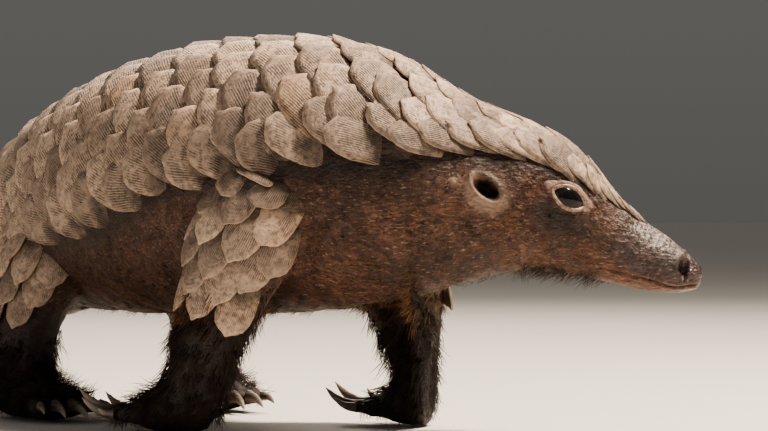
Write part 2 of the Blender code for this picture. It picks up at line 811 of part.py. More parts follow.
def leg_nodes(leg, limb, plates, draw):
    """The limb, foot and claws of one leg."""
    own = limb_plates(leg, limb, draw)
    whole = limb.mesh(0.0, limb.length)
    made = finished(leg.name + "_leg", whole)
    combine(made, [finished("plate", plate_mesh(limb, p)) for p in own], "UNION")
    around = covered(body, plates, leg.s - LEG_REACH, leg.s + LEG_REACH, GAP)
    combine(made, [around], "DIFFERENCE")
    ankle = next(s for s in range(int(limb.length)) if limb.centre(float(s)).z < ANKLE)
    combine(made, [beyond(limb, float(ankle), 1)], "DIFFERENCE")
    dressed(keep_largest(made), SCALE_COLOUR, 0.7)

    foot, toes = foot_tube(leg)
    sole = finished(leg.name + "_foot", foot.mesh(0.0, foot.length))
    shin = finished("shin", limb.mesh(ankle - SHIN_OVERLAP, limb.length))
    joined = [shin]
    for direction, start, length, radius in toe_places(leg, toes):
        ends = [start - direction * TOE_ROOT, start + direction * TOE_LENGTH]
        joined.append(finished("toe", rod(ends, [TOE_RADIUS, radius + 0.5], TOE_SIDES, NARROW)))
    combine(sole, joined, "UNION")
    combine(sole, [below_floor(), beyond(limb, float(ankle), -1)], "DIFFERENCE")
    dressed(keep_largest(sole), LIMB_COLOUR, 0.8)
    for k, (direction, start, length, radius) in enumerate(toe_places(leg, toes)):
        name = f"{leg.name}_claw_{k + 1}"
        dressed(claw(name, direction, start, length, radius, leg.claw_bend), CLAW_COLOUR, 0.35)


if __name__ == "__main__":
    for old in list(bpy.data.objects):
        bpy.data.objects.remove(old)
    build()
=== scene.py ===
"""The looks of a life-size, standing white-bellied pangolin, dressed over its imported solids.

One skin takes the place of the nodes of flesh. Horn scales, hair, claws, lids and eyes are solid
meshes over it. Sizes are in millimetres up to the point where a mesh is made; the frame is metres.
"""

from __future__ import annotations

import logging
import math
import random
from dataclasses import dataclass, field
from enum import Enum
from functools import partial
from typing import Callable, Iterable, Sequence

import bmesh
import bpy
import numpy as np
from mathutils import Matrix, Quaternion, Vector, noise
from mathutils.kdtree import KDTree

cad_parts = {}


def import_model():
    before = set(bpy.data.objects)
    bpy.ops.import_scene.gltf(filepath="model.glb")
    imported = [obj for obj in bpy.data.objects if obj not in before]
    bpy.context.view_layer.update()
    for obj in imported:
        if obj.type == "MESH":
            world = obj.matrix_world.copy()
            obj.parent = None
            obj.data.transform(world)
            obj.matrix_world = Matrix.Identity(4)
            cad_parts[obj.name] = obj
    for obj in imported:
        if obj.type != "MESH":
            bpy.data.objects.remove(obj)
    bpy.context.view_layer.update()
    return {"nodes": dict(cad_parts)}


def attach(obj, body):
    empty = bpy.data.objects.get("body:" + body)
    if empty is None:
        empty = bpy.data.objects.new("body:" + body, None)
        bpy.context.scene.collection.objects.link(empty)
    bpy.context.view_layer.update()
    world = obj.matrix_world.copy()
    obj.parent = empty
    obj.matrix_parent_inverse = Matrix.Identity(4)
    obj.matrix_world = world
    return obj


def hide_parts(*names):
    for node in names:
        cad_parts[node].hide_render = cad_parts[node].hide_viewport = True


MM = 0.001
EARTH_UP = Vector((0.0, 0.0, 1.0))
# Stations are measured from a point on the floor below the head, and moved by this much, in mm.
SHIFT = Vector((237.42, -116.46, 0.0))
# No vertex lies lower than this, in metres.
FLOOR_GAP = 0.2 * MM

# The points and the faces of a closed surface.
Shell = tuple[np.ndarray, list[tuple[int, ...]]]

log = logging.getLogger("pangolin")


@dataclass(frozen=True)
class Station:
    """One cross-section: its centre, half width, and height above and below it, in mm."""

    x: float
    y: float
    z: float
    half_width: float
    rise: float
    drop: float


# The body from the tip of the nose to the tip of the tail.
BODY = (
    Station(106.0, 0.0, 52.6, 1.4, 1.6, 1.6),
    Station(105.0, 0.0, 52.8, 3.4, 3.6, 3.8),
    Station(102.6, 0.0, 53.2, 5.2, 5.4, 5.4),
    Station(98.0, 0.0, 54.6, 6.7, 7.6, 7.8),
    Station(90.7, 0.0, 57.4, 8.4, 10.0, 10.2),
    Station(82.3, 0.0, 61.0, 10.0, 11.8, 12.0),
    Station(72.7, 0.0, 65.7, 12.2, 14.4, 14.8),
    Station(63.9, 0.0, 70.5, 14.8, 18.4, 18.8),
    Station(54.1, 0.0, 76.0, 17.6, 22.4, 22.8),
    Station(41.8, 0.4, 79.4, 20.4, 26.6, 26.8),
    Station(27.9, 1.4, 80.8, 23.6, 31.0, 31.2),
    Station(11.9, 4.0, 82.4, 28.6, 38.2, 38.6),
    Station(-6.0, 11.0, 84.8, 34.0, 44.0, 43.4),
    Station(-26.0, 24.0, 86.0, 39.5, 47.6, 46.8),
    Station(-48.0, 44.0, 86.6, 43.8, 47.2, 48.4),
    Station(-68.0, 68.0, 86.0, 46.0, 44.8, 48.6),
    Station(-85.0, 94.0, 83.4, 46.0, 41.6, 46.4),
    Station(-100.0, 121.0, 79.4, 43.6, 38.0, 42.4),
    Station(-116.0, 147.0, 73.6, 38.6, 34.0, 36.6),
    Station(-136.0, 172.0, 65.0, 32.4, 29.0, 29.6),
    Station(-166.0, 197.0, 51.0, 28.4, 24.2, 23.0),
    Station(-204.0, 216.0, 33.6, 26.2, 18.8, 18.2),
    Station(-250.0, 228.0, 20.4, 24.8, 15.2, 15.4),
    Station(-300.0, 232.0, 13.4, 23.6, 13.2, 13.6),
    Station(-352.0, 228.0, 11.8, 22.2, 12.2, 12.6),
    Station(-404.0, 217.0, 10.8, 20.6, 11.2, 11.6),
    Station(-454.0, 201.0, 9.8, 18.6, 10.2, 10.6),
    Station(-502.0, 182.0, 8.6, 16.2, 9.0, 9.4),
    Station(-544.0, 164.0, 7.2, 13.0, 7.6, 7.8),
    Station(-570.0, 153.0, 5.8, 8.8, 5.8, 6.0),
    Station(-580.0, 149.0, 5.0, 3.4, 2.8, 2.8),
)

@dataclass(frozen=True)
class LimbKind:
    """What the two forelegs share, or the two hind legs. Sizes are in mm, angles in degrees.

    Attributes:
        limb: From inside the body down: how far out from the body's middle, height, half depth
            fore and aft, thickness outwards and inwards.
        foot: From the heel: distance from the ankle, height, half width, rise and drop.
        claws: From the inner toe out: offset across the foot, length and base radius.
        bend: The claws' slope at the root and at the tip.
        toe_reach: How far before the ankle the toes start.
        toe_height: How high the toes start.
        scaled_to: The height down to which the limb has scales.
        haired_to: The height up to which it has long hair.
    """

    limb: tuple[tuple[float, ...], ...]
    foot: tuple[tuple[float, ...], ...]
    claws: tuple[tuple[float, ...], ...]
    bend: tuple[float, float]
    toe_reach: float
    toe_height: float
    scaled_to: float
    haired_to: float


FORE = LimbKind(
    limb=(
        (22.0, 82.0, 23.0, 18.0, 14.0),
        (33.0, 62.0, 20.0, 15.0, 13.0),
        (37.0, 44.0, 16.0, 12.0, 11.5),
        (38.0, 28.0, 13.0, 10.6, 10.6),
        (38.5, 10.0, 11.5, 10.0, 10.0),
    ),
    foot=(
        (-11.5, 8.0, 2.0, 2.0, 2.6),
        (-8.0, 9.8, 8.0, 7.4, 9.9),
        (2.0, 10.6, 11.2, 9.6, 11.2),
        (11.0, 9.6, 11.8, 7.4, 10.2),
        (17.0, 8.4, 10.6, 5.2, 8.9),
    ),
    claws=((-10.4, 7.0, 1.5), (-5.9, 18.0, 2.5), (0.0, 26.0, 3.0), (6.0, 21.0, 2.6), (10.6, 11.0, 1.8)),
    bend=(-16.0, 48.0), toe_reach=13.0, toe_height=6.6, scaled_to=40.0, haired_to=52.0,
)
HIND = LimbKind(
    limb=(
        (18.0, 74.0, 31.0, 24.0, 16.0),
        (30.0, 54.0, 27.0, 18.0, 15.0),
        (38.0, 36.0, 19.0, 13.0, 12.5),
        (40.5, 22.0, 14.0, 11.5, 11.5),
        (41.0, 9.0, 12.0, 10.5, 10.5),
    ),
    foot=(
        (-15.5, 7.6, 2.0, 2.0, 2.8),
        (-12.0, 8.8, 7.6, 7.0, 8.9),
        (0.0, 9.6, 11.2, 9.6, 10.2),
        (14.0, 8.8, 12.0, 7.8, 9.3),
        (25.0, 7.6, 12.2, 5.6, 8.1),
        (30.0, 7.0, 11.0, 4.4, 7.4),
    ),
    claws=((-10.2, 8.0, 1.6), (-5.3, 13.0, 2.1), (0.0, 15.0, 2.3), (5.3, 14.0, 2.1), (10.2, 9.0, 1.7)),
    bend=(14.0, -44.0), toe_reach=26.0, toe_height=6.2, scaled_to=30.0, haired_to=34.0,
)
TOE_RADIUS = 3.5
TOE_LENGTH = 9.0
# How far toes turn out and stand apart, as shares of their claws' offsets across the foot.
TOE_FAN = 0.03
TOE_SPREAD = 0.92
# Between a toe and its claw.
CLAW_GAP = 0.3

# How far down each side the scales reach, in degrees from the top, along the body.
SCALED_ARC = (
    (20.0, 5.0), (27.0, 13.0), (36.5, 33.0), (43.5, 43.5), (50.5, 47.0), (57.5, 50.0), (65.5, 50.5),
    (74.0, 54.0), (82.5, 60.5), (92.0, 69.0), (100.0, 75.5), (125.0, 84.0), (151.0, 91.0),
    (210.0, 112.0), (270.0, 120.0), (300.0, 150.0), (318.0, 180.0),
)
# The same on a limb, from the hip down.
LIMB_ARC = ((6.0, 50.0), (34.0, 96.0))
# From this arc on, the scales go all the way round.
ALL_ROUND = 179.0
# How far the scales turn from the body's own line, tips towards the back, in degrees along the body.
SCALE_SKEW = (
    (20.0, 4.0), (45.0, 18.0), (80.0, 24.0), (100.0, 30.0), (125.0, 42.0), (150.0, 48.0),
    (215.0, 48.0), (310.0, 0.0),
)
# The width of the scales along the body, and from one row to the next as a share of it.
SCALE_WIDTH = (
    (20.0, 5.5), (34.0, 8.0), (46.0, 9.6), (60.0, 11.0), (86.0, 13.0), (110.0, 14.6), (140.0, 16.0),
    (190.0, 16.6), (320.0, 18.4), (430.0, 18.0), (600.0, 15.5), (720.0, 12.5), (800.0, 9.0),
)
ROW_SHARE = ((20.0, 0.62), (60.0, 0.54), (120.0, 0.50), (190.0, 0.50), (300.0, 0.52), (800.0, 0.56))
# How many rows each scale spans, along the body.
OVERLAP = ((20.0, 2.9), (48.0, 2.9), (100.0, 3.0))

# Features of the head: distance from the nose, and degrees from the top or a tilt in degrees.
EYE_AT, EYE_TILT = (52.9, 74.5), -6.0
EAR_AT, EAR_TILT = (77.0, 86.0), 34.0
NOSTRIL_AT = (7.5, 77.0)
MOUTH_ANGLE = ((2.0, 130.0), (8.0, 137.0), (16.0, 129.0), (37.0, 134.0))
# How far the eyeball stands out, and its half length, half height and half depth.
EYE_BULGE = 1.6
EYE_RADII = (6.7, 5.1, 4.6)
# The wart behind the right ear: its place along and across from the ear.
WART_AT = (-9.9, -5.3)


def linear(hex_colour: str) -> tuple[float, float, float, float]:
    """An sRGB colour as the linear values that a shader takes.

    Args:
        hex_colour: Six hex digits, such as "c8b8a0".

    Returns:
        Red, green, blue and full alpha, linear.
    """
    channels = [int(hex_colour[k : k + 2], 16) / 255 for k in (0, 2, 4)]
    return (*(c / 12.92 if c <= 0.04045 else ((c + 0.055) / 1.055) ** 2.4 for c in channels), 1.0)


def eased(stops: Sequence[tuple[float, float]], s: np.ndarray) -> np.ndarray:
    """The values at s between (place, value) stops, eased from each to the next.

    Args:
        stops: Places and values, in the order of their places.
        s: Where the values are wanted.

    Returns:
        One value for each s.
    """
    places = np.array([p for p, _ in stops])
    values = np.array([v for _, v in stops])
    s = np.clip(np.asarray(s, float), places[0], places[-1])
    k = np.clip(np.searchsorted(places, s) - 1, 0, len(places) - 2)
    share = (s - places[k]) / (places[k + 1] - places[k])
    share = share * share * (3 - 2 * share)
    return values[k] + (values[k + 1] - values[k]) * share


def step(low: float, high: float, x: np.ndarray) -> np.ndarray:
    """A smooth step from 0 at low to 1 at high; high may be the lesser."""
    t = np.clip((np.asarray(x, float) - low) / (high - low), 0.0, 1.0)
    return t * t * (3 - 2 * t)


def unit(vectors: np.ndarray) -> np.ndarray:
    """The vectors at length 1."""
    return vectors / np.maximum(np.linalg.norm(vectors, axis=-1, keepdims=True), 1e-12)


class Tube:
    """A smooth tube through stations, as in the CAD. Distances and sizes are in mm, points in metres."""

    SPAN_STEPS = 24
    TABLE_STEP = 0.25

    def __init__(self, stations: Sequence[Station], up: Vector, shift: Vector) -> None:
        """Lays out the tube's own table of centres, directions and sizes.

        Args:
            stations: The cross-sections from one end to the other.
            up: The direction that the top of every section leans towards.
            shift: How far the whole tube is moved, in mm.
        """
        self.centres = np.array([(c.x, c.y, c.z) for c in stations]) + np.array(shift)
        self.last = len(stations) - 1
        self.steps = np.arange(self.last * self.SPAN_STEPS + 1) / self.SPAN_STEPS
        path = self._through(self.steps)
        hops = np.linalg.norm(np.diff(path, axis=0), axis=1)
        self.lengths = np.concatenate(([0.0], np.cumsum(hops)))
        self.length = float(self.lengths[-1])
        self.s = np.arange(0.0, self.length + self.TABLE_STEP, self.TABLE_STEP)
        self.s[-1] = self.length
        t = np.interp(self.s, self.lengths, self.steps)
        ahead = self._through(np.interp(np.maximum(self.s - 0.5, 0.0), self.lengths, self.steps))
        behind = self._through(
            np.interp(np.minimum(self.s + 0.5, self.length), self.lengths, self.steps)
        )
        self.heading = unit(ahead - behind)
        self.right = unit(np.cross(self.heading, np.array(up)))
        self.dorsal = np.cross(self.right, self.heading)
        self.middle = self._through(t)
        self.sizes = {
            name: self._smooth(np.array([getattr(c, name) for c in stations]), t)
            for name in ("half_width", "rise", "drop")
        }

    def _through(self, t: np.ndarray) -> np.ndarray:
        """Points of the Catmull-Rom curve through the centres, at t from 0 to the last index.

        Args:
            t: Where on the curve, counted in stations.

        Returns:
            One point in mm for each t.
        """
        i = np.clip(t.astype(int), 0, self.last - 1)
        f = (t - i)[:, None]
        padded = np.vstack(
            (2 * self.centres[0] - self.centres[1], self.centres,
             2 * self.centres[-1] - self.centres[-2])
        )
        p0, p1, p2, p3 = padded[i], padded[i + 1], padded[i + 2], padded[i + 3]
        return 0.5 * (
            2 * p1 + (p2 - p0) * f + (2 * p0 - 5 * p1 + 4 * p2 - p3) * f**2
            + (3 * p1 - p0 - 3 * p2 + p3) * f**3
        )

    def _smooth(self, values: np.ndarray, t: np.ndarray) -> np.ndarray:
        """A monotone cubic through evenly spaced values, at t from 0 to the last index.

        Args:
            values: One value for each station.
            t: Where on the curve, counted in stations.

        Returns:
            One value for each t.
        """
        gaps = np.diff(values)
        slopes = np.concatenate(([gaps[0]], np.zeros(len(values) - 2), [gaps[-1]]))
        product, total = gaps[:-1] * gaps[1:], gaps[:-1] + gaps[1:]
        rising = product > 0
        slopes[1:-1][rising] = 2 * product[rising] / total[rising]
        i = np.clip(t.astype(int), 0, self.last - 1)
        f = t - i
        return (
            (1 + 2 * f) * (1 - f) ** 2 * values[i] + f * (1 - f) ** 2 * slopes[i]
            + f * f * (3 - 2 * f) * values[i + 1] + f * f * (f - 1) * slopes[i + 1]
        )

    def _sample(self, table: np.ndarray, s: np.ndarray) -> np.ndarray:
        """The rows of a table of vectors at distances s."""
        return np.stack([np.interp(s, self.s, table[:, k]) for k in range(3)], axis=-1)

    def frame(self, s: np.ndarray) -> tuple[np.ndarray, np.ndarray, np.ndarray, np.ndarray]:
        """The centre in mm and the heading, right and dorsal directions at distances s.

        Args:
            s: Distances from the start; those past an end lie straight on from it.

        Returns:
            Four arrays of vectors.
        """
        s = np.asarray(s, float)
        inside = np.clip(s, 0.0, self.length)
        heading = unit(self._sample(self.heading, inside))
        right = unit(self._sample(self.right, inside))
        dorsal = np.cross(right, heading)
        return self._sample(self.middle, inside) - heading * (s - inside)[..., None], heading, right, dorsal

    def size(self, s: np.ndarray, name: str) -> np.ndarray:
        """One size of the cross-section at distances s."""
        return np.interp(s, self.s, self.sizes[name])

    def points(self, s: np.ndarray, angle: np.ndarray, lift: np.ndarray | float = 0.0) -> np.ndarray:
        """Surface points, in metres.

        Args:
            s: Distances along the tube.
            angle: Degrees round from the top towards the right side.
            lift: How far above the surface, in mm.

        Returns:
            An array of points.
        """
        s, angle, lift = np.broadcast_arrays(*(np.asarray(a, float) for a in (s, angle, lift)))
        centre, _, right, dorsal = self.frame(s)
        sine, cosine = np.sin(np.radians(angle)), np.cos(np.radians(angle))
        wide = self.size(s, "half_width") + lift
        high = np.where(cosine >= 0, self.size(s, "rise"), self.size(s, "drop")) + lift
        return (centre + right * (wide * sine)[..., None] + dorsal * (high * cosine)[..., None]) * MM

    def point(self, s: float, angle: float, lift: float = 0.0) -> Vector:
        """One surface point, in metres."""
        return Vector(self.points(np.array([s]), np.array([angle]), lift)[0])

    def axes(self, s: float, angle: float) -> tuple[Vector, Vector, Vector]:
        """Directions on the surface: towards the start, upwards round it, and out of it.

        Args:
            s: The distance along the tube.
            angle: Degrees round from the top.

        Returns:
            Three unit vectors.
        """
        span = 1.0
        ahead = (self.point(s - span, angle) - self.point(s + span, angle)).normalized()
        up = self.point(s, angle - math.copysign(span, angle)) - self.point(s, angle)
        up = (up - ahead * up.dot(ahead)).normalized()
        out = ahead.cross(up).normalized()
        centre = Vector(self.frame(np.array([s]))[0][0])
        if out.dot(self.point(s, angle) - centre * MM) < 0:
            out = -out
        return ahead, up, out

    def girth(self, s: float, half_arc: float) -> float:
        """The length in mm of the surface from the top down to half_arc degrees, on one side."""
        ring = self.points(np.full(25, s), np.linspace(0.0, half_arc, 25))
        return float(np.linalg.norm(np.diff(ring, axis=0), axis=1).sum() / MM)

    def locate(self, points: np.ndarray, near: np.ndarray | None = None) -> tuple[np.ndarray, np.ndarray]:
        """The distances and angles of points that lie near the surface.

        Args:
            points: Points in metres.
            near: First guesses of their distances, where they are known.

        Returns:
            Distances in mm and angles in degrees.
        """
        places = points / MM
        if near is None:
            tree = KDTree(len(self.middle[::8]))
            for k, centre in enumerate(self.middle[::8]):
                tree.insert(centre, k)
            tree.balance()
            near = np.array([self.s[::8][tree.find(p)[1]] for p in places])
        s = near
        for _ in range(12):
            centre, heading, right, dorsal = self.frame(np.clip(s, 0.0, self.length))
            s = np.clip(s - 0.7 * ((places - centre) * heading).sum(-1), 0.0, self.length)
        centre, heading, right, dorsal = self.frame(s)
        across = ((places - centre) * right).sum(-1) / self.size(s, "half_width")
        up = ((places - centre) * dorsal).sum(-1)
        up = up / np.where(up >= 0, self.size(s, "rise"), self.size(s, "drop"))
        return s, np.degrees(np.arctan2(across, up))


@dataclass(frozen=True)
class Leg:
    """One leg: its side, where it leaves the body, its stride and its foot's turn, and its kind."""

    name: str
    side: float
    s: float
    stride: float
    foot_turn: float
    kind: LimbKind

    @property
    def forward(self) -> Vector:
        """The level direction towards the head at this leg."""
        heading = BODY_TUBE.frame(np.array([self.s]))[1][0]
        return Vector((heading[0], heading[1], 0.0)).normalized()

    @property
    def outward(self) -> Vector:
        """The level direction away from the body."""
        return self.forward.cross(EARTH_UP) * self.side

    @property
    def hip(self) -> Vector:
        """The point in mm on the body's centre line that the leg hangs from."""
        return Vector(BODY_TUBE.frame(np.array([self.s]))[0][0])

    @property
    def ankle(self) -> Vector:
        """The point in mm on the floor below the ankle."""
        spot = self.hip + self.outward * self.kind.limb[-1][0] + self.forward * self.stride
        return Vector((spot.x, spot.y, 0.0))

    @property
    def toes(self) -> Vector:
        """The level direction in which the toes point."""
        return Matrix.Rotation(math.radians(self.foot_turn), 3, "Z") @ self.forward

    def limb_tube(self) -> Tube:
        """The tube of the limb, with its own top turned outwards.

        Returns:
            The tube, from inside the body down.
        """
        top, foot = self.kind.limb[0][1], self.kind.limb[-1][1]
        stations = []
        for out, height, *sizes in self.kind.limb:
            share = (top - height) / (top - foot)
            spot = self.hip + self.outward * out + self.forward * self.stride * share
            stations.append(Station(spot.x, spot.y, height, *sizes))
        return Tube(stations, self.outward, Vector())

    def foot_tube(self) -> Tube:
        """The tube of the foot, from heel to toes.

        Returns:
            The tube, in the world's own directions.
        """
        spots = [self.ankle + self.toes * along for along, *_ in self.kind.foot]
        stations = [Station(p.x, p.y, *sizes) for p, (_, *sizes) in zip(spots, self.kind.foot)]
        return Tube(stations, EARTH_UP, Vector())

    def toe_places(self) -> list[tuple[Vector, Vector, float, float]]:
        """For each toe: its direction, the point in mm where it starts, and its claw's size.

        Returns:
            One tuple for each toe, from the inner one out; sizes are in mm.
        """
        across = self.toes.cross(EARTH_UP) * (self.side if self.kind is FORE else -self.side)
        places = []
        for offset, length, radius in self.kind.claws:
            fan = (self.toes + across * offset * TOE_FAN).normalized()
            start = self.ankle + across * offset * TOE_SPREAD + self.toes * self.kind.toe_reach
            places.append((fan, start + EARTH_UP * self.kind.toe_height, length, radius))
        return places


BODY_TUBE = Tube(BODY, EARTH_UP, SHIFT)
LEGS = (
    Leg("right_fore", 1.0, 138.0, -26.0, 190.0, FORE),
    Leg("left_fore", -1.0, 138.0, 18.0, 176.0, FORE),
    Leg("right_hind", 1.0, 262.0, 6.0, 6.0, HIND),
    Leg("left_hind", -1.0, 262.0, -16.0, -6.0, HIND),
)


def new_object(name: str, mesh: bpy.types.Mesh) -> bpy.types.Object:
    """A linked object at the origin that shows the mesh."""
    made = bpy.data.objects.new(name, mesh)
    bpy.context.scene.collection.objects.link(made)
    return made


def ring_faces(count: int, sides: int) -> list[tuple[int, ...]]:
    """The faces between rings of points.

    Args:
        count: How many rings there are.
        sides: How many points a ring has.

    Returns:
        Four indices for each face.
    """
    faces = []
    for a in range(0, (count - 1) * sides, sides):
        for k in range(sides):
            n = (k + 1) % sides
            faces.append((a + k, a + n, a + sides + n, a + sides + k))
    return faces


def grid_shell(rings: np.ndarray) -> Shell:
    """A closed tube from rings of points, its ends closed by a point in their middle.

    Args:
        rings: Points as an array of rings, sides and three coordinates.

    Returns:
        The points and the faces.
    """
    count, sides = rings.shape[:2]
    points = np.vstack((rings.reshape(-1, 3), rings[0].mean(0), rings[-1].mean(0)))
    faces = ring_faces(count, sides)
    first, last, end = count * sides, count * sides + 1, (count - 1) * sides
    for k in range(sides):
        n = (k + 1) % sides
        faces.append((first, n, k))
        faces.append((last, end + k, end + n))
    return points, faces


def write_mesh(bm: bmesh.types.BMesh, mesh: bpy.types.Mesh, flat_from: float = math.inf) -> None:
    """Writes a mesh with its faces pointing out and shaded smooth.

    Args:
        bm: Its vertices and faces, which are freed.
        mesh: The mesh.
        flat_from: The first vertex whose faces stay flat.
    """
    bmesh.ops.recalc_face_normals(bm, faces=bm.faces[:])
    for face in bm.faces:
        face.smooth = all(v.index < flat_from for v in face.verts)
    bm.to_mesh(mesh)
    bm.free()


def mesh_of(
    name: str, points: np.ndarray, faces: Iterable[Sequence[int]], flat_from: float = math.inf
) -> bpy.types.Mesh:
    """A mesh with its faces pointing out.

    Args:
        name: The mesh's name.
        points: The vertices' places.
        faces: The vertices of each face.
        flat_from: The first vertex whose faces stay flat.

    Returns:
        The mesh.
    """
    mesh = bpy.data.meshes.new(name)
    mesh.from_pydata(points.tolist(), [], list(faces))
    bm = bmesh.new()
    bm.from_mesh(mesh)
    write_mesh(bm, mesh, flat_from)
    return mesh


def evaluated(made: bpy.types.Object) -> bpy.types.Mesh:
    """The object's evaluated mesh, with its modifiers then removed.

    Args:
        made: The object.

    Returns:
        A mesh of its own.
    """
    graph = bpy.context.evaluated_depsgraph_get()
    graph.update()
    mesh = bpy.data.meshes.new_from_object(made.evaluated_get(graph))
    made.modifiers.clear()
    return mesh


def vertices_of(mesh: bpy.types.Mesh) -> np.ndarray:
    """The vertices' places as an array.

    Args:
        mesh: The mesh.

    Returns:
        Rows of coordinates in metres.
    """
    places = np.empty(len(mesh.vertices) * 3)
    mesh.vertices.foreach_get("co", places)
    return places.reshape(-1, 3)


def normals_of(mesh: bpy.types.Mesh) -> np.ndarray:
    """The vertices' normals as an array.

    Args:
        mesh: The mesh.

    Returns:
        Rows of unit vectors.
    """
    normals = np.empty(len(mesh.vertices) * 3)
    mesh.vertex_normals.foreach_get("vector", normals)
    return normals.reshape(-1, 3)


def put_vertices(mesh: bpy.types.Mesh, places: np.ndarray) -> None:
    """Moves the mesh's vertices to the places."""
    mesh.vertices.foreach_set("co", places.ravel())
    mesh.update()


def store(mesh: bpy.types.Mesh, name: str, kind: str, values: np.ndarray) -> None:
    """Writes an attribute of the mesh's points."""
    made = mesh.attributes.new(name, kind, "POINT")
    made.data.foreach_set("vector" if kind == "FLOAT_VECTOR" else "value", values.ravel())


def ripple(places: np.ndarray, size: float, octaves: int = 2, seed: float = 0.0) -> np.ndarray:
    """Smooth noise from about -1 to 1 at places in mm, with features of about the size in mm."""
    shift = Vector((seed * 17.3, seed * 9.1, seed * 3.7))
    return np.array(
        [noise.fractal(Vector(p) / size + shift, 1.0, 2.0, octaves) for p in places]
    )


@dataclass(frozen=True)
class Feature:
    """A place on one side of the head, with its own directions along, across and out."""

    spot: Vector
    along: Vector
    across: Vector
    out: Vector

    @classmethod
    def at(cls, s: float, angle: float, side: float, tilt: float = 0.0) -> Feature:
        """The feature at a distance and angle, turned by tilt degrees about the way out.

        Args:
            s: The distance from the nose.
            angle: Degrees from the top.
            side: 1 on the right, -1 on the left.
            tilt: Degrees by which along is turned.

        Returns:
            The feature.
        """
        ahead, up, out = BODY_TUBE.axes(s, angle * side)
        turn = Matrix.Rotation(math.radians(-tilt) * side, 3, out)
        return cls(BODY_TUBE.point(s, angle * side), turn @ ahead, turn @ up, out)

    def local(self, points: np.ndarray) -> tuple[np.ndarray, np.ndarray, np.ndarray]:
        """The points' places in mm along, across and out from the feature."""
        away = (points - np.array(self.spot)) / MM
        return tuple(away @ np.array(a) for a in (self.along, self.across, self.out))

    def world(self, along: float, across: float, out: float) -> Vector:
        """The point in metres at a place in mm from the feature."""
        return self.spot + (self.along * along + self.across * across + self.out * out) * MM


